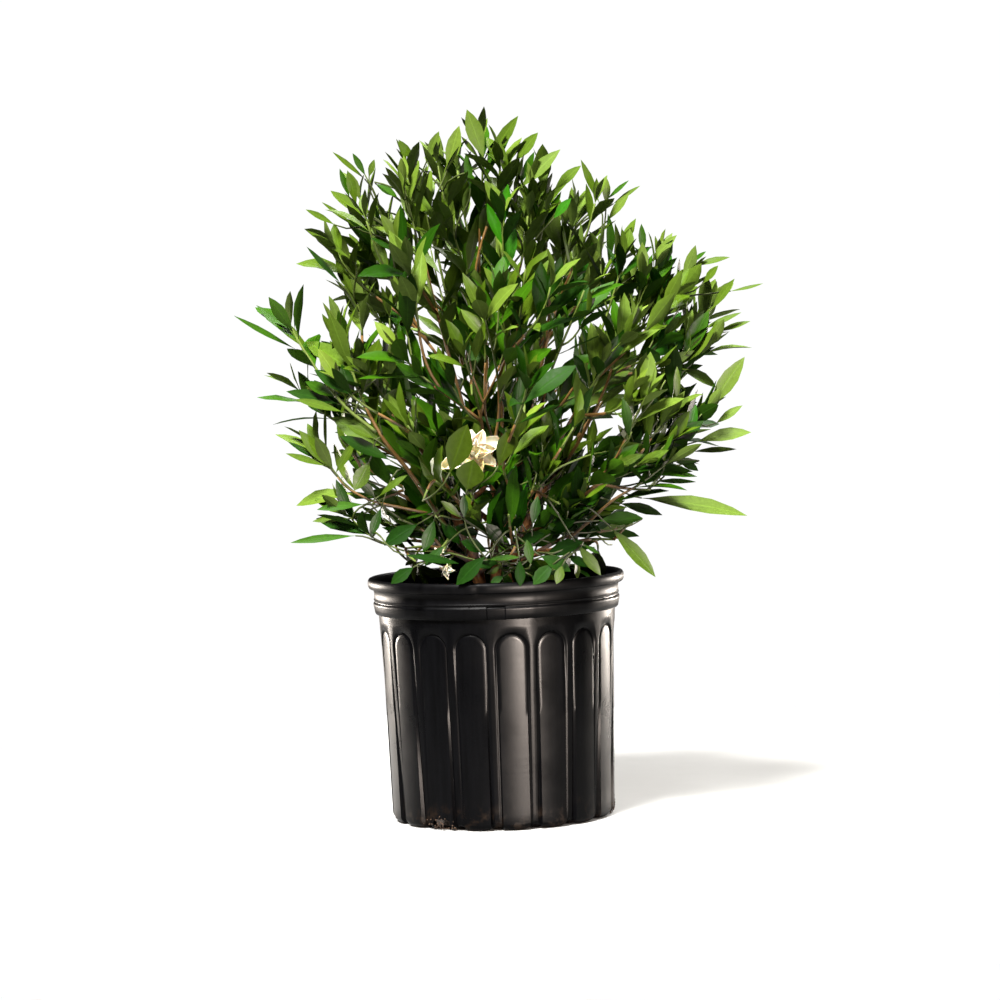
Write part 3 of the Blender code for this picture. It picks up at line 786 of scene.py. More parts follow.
def build_pot(settings):
    bm = bmesh.new()
    pot_wall(bm, settings.groove)
    ends = [e for e in bm.edges if e.is_boundary]
    top = [e for e in ends if all(v.co.z > WALL_TOP - 1e-4 for v in e.verts)]
    foot = [e for e in ends if all(v.co.z < HEEL for v in e.verts)]
    for radius, z in RIM_PROFILE:
        top = grown(bm, top, set_to(radius, z))
    bmesh.ops.contextual_create(bm, geom=top)
    for radius, z in ((0.0890, 0.0006), (0.0840, 0.0012)):
        foot = grown(bm, foot, set_to(radius, z))
    bmesh.ops.contextual_create(bm, geom=foot)
    mould_marks(bm)
    bmesh.ops.recalc_face_normals(bm, faces=bm.faces)
    pot = add_piece(
        "pot_fluted", mesh_from("pot_fluted", bm), [pot_finish(settings)], ["pot"]
    )
    cut_drains(pot)
    pot.data.shade_smooth()
    pot.data.set_sharp_from_angle(angle=math.radians(38))


def lump_shape(seed, flatness):
    """A broken crumb or chip: a small cube with bevelled, uneven corners."""
    bm = bmesh.new()
    bmesh.ops.create_cube(bm, size=1)
    bmesh.ops.bevel(
        bm, geom=bm.edges[:], offset=0.16, segments=1, profile=0.5, affect="EDGES", material=-1
    )
    noise.seed_set(seed)
    for v in bm.verts:
        v.co += 0.22 * noise.noise_vector(v.co * 1.7 + Vector((seed * 3.1, seed, -seed)))
        v.co.z *= flatness
    bmesh.ops.recalc_face_normals(bm, faces=bm.faces)
    shape = shape_of(bm)
    bm.free()
    return shape


def placed_copies(points, places):
    """Copies of a shape under a list of matrices, as one array."""
    matrices = np.array([[list(row) for row in m] for m in places])
    turned = np.einsum("nij,pj->npi", matrices[:, :3, :3], points)
    return turned + matrices[:, None, :3, 3]


def build_grit(settings):
    """Crumbs of soil that cling to the pot's foot round the drain mouths."""
    chance = random.Random("grit")
    points, faces = lump_shape(5, 0.7)
    places = []
    for number in range(settings.grit):
        drain = DRAIN_PANELS[number % len(DRAIN_PANELS)]
        angle = FIRST_PANEL + drain * PANEL_PITCH + chance.gauss(0, 0.085)
        z = abs(chance.gauss(0.0, 0.006)) + 0.0012
        radius = max(panel_radius(z), land_radius(z)) - heel_inset(z)
        size = chance.uniform(0.0006, 0.0017)
        seat = Matrix.Rotation(angle, 4, "Z") @ Matrix.Translation((radius - 0.1 * size, 0, z))
        turn = Euler([chance.uniform(0, 6.3) for _ in range(3)]).to_matrix().to_4x4()
        places.append(seat @ turn @ Matrix.Scale(size, 4))
    mesh = joined_mesh("drain_grit", placed_copies(points, places), faces)
    mesh.set_sharp_from_angle(angle=math.radians(30))
    add_piece("drain_grit", mesh, [chip_finish()])


# The potting mix


def mix_level(x, y):
    """Height of the mix's uneven top."""
    place = Vector((x, y, 0))
    return MIX_TOP + 0.0016 * noise.noise(place * 34) + 0.0011 * noise.noise(place * 110) - 0.0012


def build_mix(settings):
    """The plug of mix, with an uneven top."""
    bm = bmesh.new()
    bmesh.ops.create_circle(bm, segments=96, radius=0.1045)
    edges = bm.edges[:]
    loop = edges
    for step in range(26):
        loop = grown(bm, loop, lambda co, s=(25 - step) / (26 - step): Vector((co.x * s, co.y * s, 0)))
    for v in bm.verts:
        v.co.z = mix_level(v.co.x, v.co.y) - 0.0025 * smooth((v.co.xy.length - 0.098) / 0.006)
    bmesh.ops.remove_doubles(bm, verts=bm.verts, dist=1e-5)
    for radius, z in ((0.1012, 0.1720), (0.0936, 0.0075), (0.0896, 0.0032)):
        edges = grown(bm, edges, set_to(radius, z))
    bmesh.ops.contextual_create(bm, geom=edges)
    bmesh.ops.recalc_face_normals(bm, faces=bm.faces)
    mesh = mesh_from("mix_plug", bm)
    add_piece("mix_plug", mesh, [mix_finish(settings)], ["potting_mix"])


def build_chips(settings, feet):
    """Bark chips that lie flat on the mix, clear of the stems' feet."""
    chance = random.Random("chips")
    for kind in range(3):
        points, faces = lump_shape(kind + 1, 0.30)
        places = []
        while len(places) < settings.chips // 3:
            radius = 0.101 * math.sqrt(chance.random())
            angle = chance.uniform(0, math.tau)
            x, y = radius * math.cos(angle), radius * math.sin(angle)
            long, wide = chance.uniform(0.005, 0.013), chance.uniform(0.0035, 0.0065)
            if any(math.hypot(x - f.x, y - f.y) < long * 0.6 + 0.0075 for f in feet):
                continue
            if radius + long / 2 > 0.1035:
                continue
            tilt = (chance.gauss(0, 0.22), chance.gauss(0, 0.22), chance.uniform(0, 6.3))
            turn = Euler(tilt).to_matrix().to_4x4()
            seat = Matrix.Translation((x, y, mix_level(x, y) + 0.0006))
            places.append(seat @ turn @ Matrix.Diagonal((long, wide, wide, 1)))
        mesh = joined_mesh(f"bark_chips_{kind}", placed_copies(points, places), faces)
        mesh.set_sharp_from_angle(angle=math.radians(30))
        add_piece(f"bark_chips_{kind}", mesh, [chip_finish()])


# The crown's plan, by the same rule and named sizes as the solids


def direction(side, rise):
    """Unit vector at a compass angle and a rise above the level."""
    return Vector((math.cos(side) * math.cos(rise), math.sin(side) * math.cos(rise), math.sin(rise)))


def side_angle(index, count):
    """Compass angle of one of count sides, counted from the front towards the right."""
    return -math.pi / 2 + math.tau * index / count


def bend(start, heading, end, arrival, count):
    """Points of a smooth curve that leaves along heading and arrives along arrival."""
    reach = (end - start).length * 0.38
    return interpolate_bezier(start, start + heading * reach, end - arrival * reach, end, count)


def lifted(way, rise):
    """A heading drawn upwards."""
    return (way + Vector((0, 0, rise))).normalized()


def tapered(first, last, count):
    return [first + (last - first) * i / (count - 1) for i in range(count)]


def point_at(path, share):
    """The point and the heading at a share of a path."""
    place = share * (len(path) - 1)
    i = min(int(place), len(path) - 2)
    step = path[i + 1] - path[i]
    return path[i] + step * (place - i), step.normalized()


def path_length(path):
    return sum((b - a).length for a, b in zip(path, path[1:]))


def reach_from(way, heights, left_reach, right_reach):
    """Reach in one direction, between a left and a right outline given at a few rises."""
    rise = math.degrees(math.asin(max(-1.0, min(1.0, way.z))))
    flat = math.hypot(way.x, way.y)
    rightness = 0.5 + 0.5 * way.x / flat if flat > 1e-6 else 0.5
    for i in range(len(heights) - 1):
        if rise <= heights[i + 1]:
            break
    share = max(0.0, (rise - heights[i]) / (heights[i + 1] - heights[i]))
    left = left_reach[i] + (left_reach[i + 1] - left_reach[i]) * share
    right = right_reach[i] + (right_reach[i + 1] - right_reach[i]) * share
    return left + (right - left) * rightness


def crown_reach(way):
    """How far the crown's tips reach from the heart in one direction."""
    return reach_from(way, HEIGHTS, LEFT_REACH, RIGHT_REACH)


class Mass:
    """One mass of foliage: its tier, its direction from the heart, and the stem that carries it."""

    def __init__(self, tier, side, way, stem, start):
        self.name = f"{tier}_{side}"
        self.tier = tier
        self.way = way
        self.reach = crown_reach(way)
        self.stem = stem
        self.start = start
        self.entry = HEART + way * (ENTRY + self.reach * ENTRY_SHARE)


def all_masses():
    masses = []
    for tier, sides, first, rise, stems, starts in (
        ("low", SIXTHS, 0.1, LOW_RISE, (3, 0, 1, 1, 2, 3), (0.30, 0.42, 0.30, 0.42, 0.36, 0.42)),
        ("middle", EIGHTHS, 0.4, MIDDLE_RISE, (0, 0, 1, 1, 2, 2, 3, 3), (0.60, 0.74)),
        ("upper", SIXTHS, 0.8, UPPER_RISE, (0, 4, 1, 2, 4, 3), (1.0, 0.48, 1.0, 1.0, 0.57, 1.0)),
        ("crown", FIFTHS, 0.12, CROWN_RISE, (4, 4, 4, 4, 4), (0.66, 0.75, 1.0, 0.84, 0.92)),
    ):
        for i, side in enumerate(sides):
            way = direction(side_angle(i + first, len(sides)), rise)
            masses.append(Mass(tier, side, way, stems[i], starts[i % len(starts)]))
    return masses


def stem_paths(count=26):
    """The five stems' paths, from the flat cut on the mix to the fork."""
    paths = []
    foot_z = MIX_TOP + GAP
    for i in range(4):
        side = direction(side_angle(i + 0.5, 4), 0)
        foot = side * STEM_RING + Vector((0, 0, foot_z))
        fork = foot + side * STEM_OUT + Vector((0, 0, STEM_RISE))
        heading = lifted(side * 0.18, 1)
        arrival = lifted(side * 0.75, 1)
        paths.append(bend(foot, heading, fork, arrival, count))
    foot = Vector((0, 0, foot_z))
    fork = foot + Vector((0.002, 0.001, CENTRE_STEM_RISE))
    paths.append(bend(foot, Vector((0.05, -0.04, 1)).normalized(), fork, Vector((0, 0, 1)), count))
    return paths


def bough_path(mass, stems, count=16):
    """A bough's path from inside its stem to the place where it enters its mass."""
    start, heading = point_at(stems[mass.stem], mass.start)
    arrival = lifted(mass.way, UPWARD_PULL)
    leave = heading
    if mass.start < 1.0:
        leave = ((mass.entry - start).normalized() + heading * 0.35).normalized()
    return bend(start, leave, mass.entry, arrival, count)


class Space:
    """The room a mass keeps to: the part of the crown nearest its own direction, clear of limbs and pot."""

    def __init__(self, mass, masses, limbs):
        self.walls = [(mass.way - other.way).normalized() for other in masses if other is not mass]
        self.limbs = limbs

    def holds(self, points, overhang=0.0, ease=0.0):
        """Whether points lie in the room, eased outwards by overhang and sideways by ease."""
        for p in points:
            offset = p - HEART
            if offset.length > crown_reach(offset.normalized()) + overhang or in_pot(p):
                return False
            if any(offset.dot(wall) < SPACE_MARGIN - ease for wall in self.walls):
                return False
        return not touches_limb(self.limbs, points)


def touches_limb(limbs, points):
    """Whether any point lies on or in a limb. limbs holds starts, steps, squared lengths and radii."""
    starts, steps, squares, radii = limbs
    spots = np.array([tuple(p) for p in points])[:, None, :]
    along = np.clip(((spots - starts) * steps).sum(2) / squares, 0, 1)
    away = np.linalg.norm(spots - starts - steps * along[..., None], axis=2)
    return bool((away < radii + LIMB_MARGIN).any())


def in_pot(p):
    """Whether a point would lie in the pot's wall, in the mix or under the lip outside."""
    radius = math.hypot(p.x, p.y)
    if radius < 0.1022:
        return p.z < MIX_TOP + 0.003
    return p.z < POT_HEIGHT + 0.002


def dotted(path):
    return [point_at(path, step / 10)[0] for step in range(1, 11)]


def shoot_paths(mass, bough, space):
    """The mass's leader, which goes on from the bough, and the side shoots that find room."""
    heading = (bough[-1] - bough[-2]).normalized()
    tip = HEART + mass.way * (mass.reach - SHOOT_TIP)
    leader = bend(bough[-1], heading, tip, lifted(mass.way, UPWARD_PULL), 12)
    paths = [leader]
    chance = random.Random(f"{SEED} {mass.name}")
    turn = chance.uniform(0, math.tau)
    fan = math.radians(SHOOT_FAN[mass.tier])
    for number in range(SHOOT_COUNT):
        turn += math.tau / SHOOT_COUNT + chance.uniform(-0.25, 0.25)
        share = SHOOT_STARTS[0] + (SHOOT_STARTS[1] - SHOOT_STARTS[0]) * number / (SHOOT_COUNT - 1)
        root, along = point_at(leader, share)
        across = mass.way.orthogonal().normalized()
        across.rotate(Quaternion(mass.way, turn))
        reach = chance.uniform(*SHOOT_REACH)
        for narrower in SHOOT_TRIES:
            outward = mass.way * math.cos(fan * narrower) + across * math.sin(fan * narrower)
            end = HEART + outward * (crown_reach(outward) * reach - SHOOT_TIP)
            leave = (along * math.cos(SHOOT_LEAVES) + across * math.sin(SHOOT_LEAVES)).normalized()
            path = bend(root, leave, end, lifted(outward, UPWARD_PULL), 12)
            if space.holds(dotted(path)):
                paths.append(path)
                break
    return paths


# Ends of the shoots that draw the crown's outline, in millimetres
OUTLINE_TIPS = (
    (-140, 85, 346), (-190, -15, 414), (-143, -30, 542), (-119, 20, 588), (-72, -20, 615),
    (-30, 30, 606), (1, -10, 636), (18, -30, 622), (-112, -40, 568), (59, 30, 605),
    (107, -30, 577), (131, 10, 534), (163, -30, 516), (190, -20, 500), (216, 15, 474),
    (214, -30, 440), (172, -45, 452), (178, 30, 395), (180, -45, 345), (202, -35, 376),
    (125, 95, 262), (-128, 70, 285), (36, -232, 420), (100, 200, 440), (-110, 185, 420),
    (10, 225, 360), (150, -160, 400), (-140, -150, 420), (60, -160, 500), (-70, -140, 520),
    (80, 140, 530), (-90, 120, 550),
)
LEADING_TIPS = [Vector(metres(tip)) for tip in OUTLINE_TIPS]
TIP_WAYS = [(tip - HEART).normalized() for tip in LEADING_TIPS]
PEAK_WIDTH = 1 - math.cos(math.radians(8))
BULK_HEIGHTS = (-12, 4, 20, 28, 36, 44, 56, 68, 80, 90)
LEFT_BULK = (0.082, 0.086, 0.120, 0.145, 0.172, 0.218, 0.275, 0.338, 0.370, 0.375)
RIGHT_BULK = (0.095, 0.082, 0.130, 0.186, 0.218, 0.244, 0.290, 0.304, 0.338, 0.375)


def bulk_reach(way):
    """How far the crown's bulk reaches, with a swelling towards each leading tip."""
    bulk = reach_from(way, BULK_HEIGHTS, LEFT_BULK, RIGHT_BULK)
    nearest = max(way.dot(tip) for tip in TIP_WAYS)
    swelling = 0.4 * smooth((nearest - 1 + PEAK_WIDTH) / PEAK_WIDTH)
    return bulk + (crown_reach(way) - bulk) * swelling


def drawn_in(path):
    """A shoot cut short where its leaves would pass the bulk's reach."""
    share = 1.0
    while share > 0.5:
        offset = point_at(path, share - 1e-6)[0] - HEART
        if offset.length + LEAF_ROOM < bulk_reach(offset.normalized()):
            break
        share -= 0.04
    return [point_at(path, share * i / (len(path) - 1) - 1e-9)[0] for i in range(len(path))]


def leading_shoots(growth):
    """Long shoots that stand out from the crown and draw its outline."""
    skeleton = [point_at(path, i / 12) for _, shoots, _ in growth for path in shoots for i in range(2, 10)]
    paths = []
    for tip in LEADING_TIPS:
        outward = (tip - HEART).normalized()
        rise = lifted(outward, 0.25)
        end = tip - rise * 0.036
        wanted = HEART + (tip - HEART) * 0.56
        root, along = min(skeleton, key=lambda found: (found[0] - wanted).length)
        paths.append(bend(root, (along + outward * 0.5).normalized(), end, rise, 12))
    return paths


def leading_twigs(growth):
    """Short twigs that rise from the sides of the leading shoots."""
    twigs = []
    chance = random.Random(f"{SEED} leading twigs")
    for path in leading_shoots(growth):
        turn = chance.uniform(0, math.tau)
        for share in (0.42, 0.64):
            root, along = point_at(path, share)
            turn += math.radians(chance.uniform(110, 160))
            way = lifted(along * 0.75 + side_way(along, turn) * 0.55, 0.25)
            end = root + way * chance.uniform(0.030, 0.055)
            if end.x > 0.10 and (end - HEART).length + 0.020 < crown_reach((end - HEART).normalized()):
                twigs.append(bend(root, (along + way).normalized(), end, lifted(way, 0.4), 6))
    return twigs


def side_way(along, turn):
    """A way square to a heading, turned round it."""
    across = along.orthogonal().normalized()
    across.rotate(Quaternion(along, turn))
    return across


def twig_paths(mass, shoots, space, step):
    """Finer twigs off the sides of each shoot, carried outwards within the crown's reach."""
    twigs = []
    chance = random.Random(f"{SEED} {mass.name} twigs")
    for shoot in shoots:
        length = path_length(shoot)
        count = max(1, round(length * 0.72 / step * TWIG_SHARE[mass.tier]))
        turn = chance.uniform(0, math.tau)
        for number in range(count):
            share = 0.14 + 0.74 * (number + chance.uniform(0.1, 0.9)) / count
            root, along = point_at(shoot, share)
            turn += math.radians(chance.uniform(115, 160))
            across = side_way(along, turn)
            outward = (root - HEART).normalized()
            way = lifted(along * 0.80 + across * 0.55 + outward * 0.15, 0.35)
            for long in (chance.uniform(0.045, 0.085), 0.038, 0.022):
                leave = (along * 0.75 + across * 0.66).normalized()
                end = root + way * long
                path = bend(root, leave, end, lifted(way + outward * 0.2, 0.45), 6)
                offset = path[-1] - HEART
                if offset.length + LEAF_ROOM > bulk_reach(offset.normalized()):
                    continue
                if space.holds(dotted(path)[2:], -LEAF_ROOM, 0.014):
                    twigs.append(path)
                    break
    return twigs


def inner_twigs(mass, bough, limbs):
    """Short leafy twigs off a bough, which fill the crown's dark inside."""
    twigs = []
    chance = random.Random(f"{SEED} {mass.name} inner")
    turn = chance.uniform(0, math.tau)
    for share in (0.38, 0.56, 0.72, 0.88):
        root, along = point_at(bough, share)
        turn += math.radians(chance.uniform(110, 165))
        across = side_way(along, turn)
        way = (along * 0.55 + across * 0.75 + Vector((0, -0.12, 0.30))).normalized()
        end = root + way * chance.uniform(0.034, 0.060)
        leave = (along * 0.6 + across * 0.8).normalized()
        path = bend(root, leave, end, lifted(way, 0.4), 6)
        if not touches_limb(limbs, path[2:]) and not any(in_pot(p) for p in path):
            twigs.append(path)
    return twigs


# Limbs


def limb_table(stems, boughs):
    """Every stem and bough as straight stretches, in arrays, for leaves to keep clear of."""
    starts, steps, radii = [], [], []
    sized = [(p, tapered(STEM_FOOT_RADIUS, STEM_TIP_RADIUS, len(p))) for p in stems]
    sized += [(p, tapered(BOUGH_ROOT_RADIUS, BOUGH_TIP_RADIUS, len(p))) for p in boughs.values()]
    for path, sizes in sized:
        thin = list(zip(path, sizes))[::3] + [(path[-1], sizes[-1])]
        for (a, radius), (b, _) in zip(thin, thin[1:]):
            if (b - a).length > 1e-5:
                starts.append(tuple(a))
                steps.append(tuple(b - a))
                radii.append(radius)
    starts, steps = np.array(starts), np.array(steps)
    return starts, steps, (steps**2).sum(1), np.array(radii)


def crown_plan(settings):
    """Masses, stems, boughs, shoots and twigs of the whole crown."""
    masses = all_masses()
    stems = stem_paths()
    boughs = {mass.name: bough_path(mass, stems) for mass in masses}
    limbs = limb_table(stems, boughs)
    growth = []
    for mass in masses:
        space = Space(mass, masses, limbs)
        shoots = shoot_paths(mass, boughs[mass.name], space)
        twigs = twig_paths(mass, shoots, space, settings.twig_step)
        shoots = [drawn_in(path) for path in shoots]
        twigs += inner_twigs(mass, boughs[mass.name], limbs)
        growth.append((mass, shoots, twigs))
    return stems, boughs, limbs, growth


# Limbs that show from the front: kind, first and last radius, and points outwards, in millimetres
SHOWN_SHOOTS = (
    ("woody", 2.3, 1, (
        (-26, -24, 240), (-50, -46, 274), (-70, -66, 312), (-91, -78, 338), (-105, -80, 365),
        (-117, -76, 398), (-127, -72, 433),
    )),
    ("green", 1.7, 0.9, (
        (-99, -80, 349), (-125, -78, 371), (-145, -70, 398), (-164, -62, 429), (-170, -60, 442),
    )),
    ("woody", 1.5, 0.8, (
        (-49, -46, 273), (-81, -60, 282), (-105, -66, 288), (-128, -66, 301), (-142, -62, 322),
        (-148, -60, 333),
    )),
    ("green", 0.9, 0.6, (
        (-42, -35, 241), (-79, -60, 243), (-107, -66, 257), (-125, -66, 275),
    )),
    ("woody", 1.6, 0.8, (
        (58, -25, 241), (85, -42, 264), (105, -52, 282), (130, -54, 295), (152, -54, 311),
    )),
    ("woody", 1.6, 0.8, (
        (57, 4, 300), (78, -40, 334), (92, -58, 361), (103, -66, 384), (112, -68, 411),
        (116, -66, 426),
    )),
    ("woody", 1.2, 0.8, (
        (7, -18, 321), (-4, -56, 357), (-4, -68, 384), (-2, -72, 412), (-3, -72, 434),
    )),
    ("woody", 1, 0.7, (
        (-5, -64, 370), (-14, -72, 395), (-18, -74, 426),
    )),
    ("woody", 1, 0.7, (
        (-5, -64, 372), (6, -74, 392), (16, -76, 420),
    )),
    ("green", 1.2, 0.7, (
        (29, -62, 285), (56, -74, 312), (86, -74, 323), (100, -70, 325),
    )),
    ("bare", 0.8, 0.6, (
        (13, -60, 241), (4, -86, 238), (-8, -104, 236),
    )),
    ("bare", 0.8, 0.6, (
        (13, -60, 241), (25, -84, 240), (42, -96, 241), (54, -102, 237),
    )),
    ("bare", 0.8, 0.6, (
        (-42, -35, 241), (-56, -74, 236), (-67, -98, 232),
    )),
    ("bare", 0.8, 0.6, (
        (62, -25, 242), (70, -60, 247), (77, -92, 248),
    )),
    ("bare", 1, 0.7, (
        (13, -60, 241), (5, -78, 248), (-12, -92, 262), (-25, -102, 272),
    )),
)


def shown_shoots():
    """The limbs that show from the front, as kind, two radii and a path with rounded corners."""
    shown = []
    for kind, *radii, corners in SHOWN_SHOOTS:
        corners = [Vector(metres(corner)) for corner in corners]
        path = [point_at(corners, i / 23 * 0.9999)[0] for i in range(24)]
        for _ in range(3):
            path[1:-1] = [(a + b * 2 + c) / 4 for a, b, c in zip(path, path[1:], path[2:])]
        shown.append((kind, *metres(radii), path))
    return shown


def shown_places(stems):
    """Points on the wood that shows, which leaves of other shoots leave clear."""
    places = [path[i] for kind, _, _, path in shown_shoots() if kind == "woody" for i in range(17)]
    places += stems[3][6:]
    return np.array([tuple(p) for p in places])


def hides_wood(places, spots):
    """Whether a leaf would lie in front of the wood that shows."""
    spots = np.array([tuple(s) for s in spots])[:, None, :]
    near = np.linalg.norm(spots[..., ::2] - places[None, :, ::2], axis=2) < WOOD_CLEARANCE
    return bool((near & (spots[..., 1] < places[None, :, 1])).any())


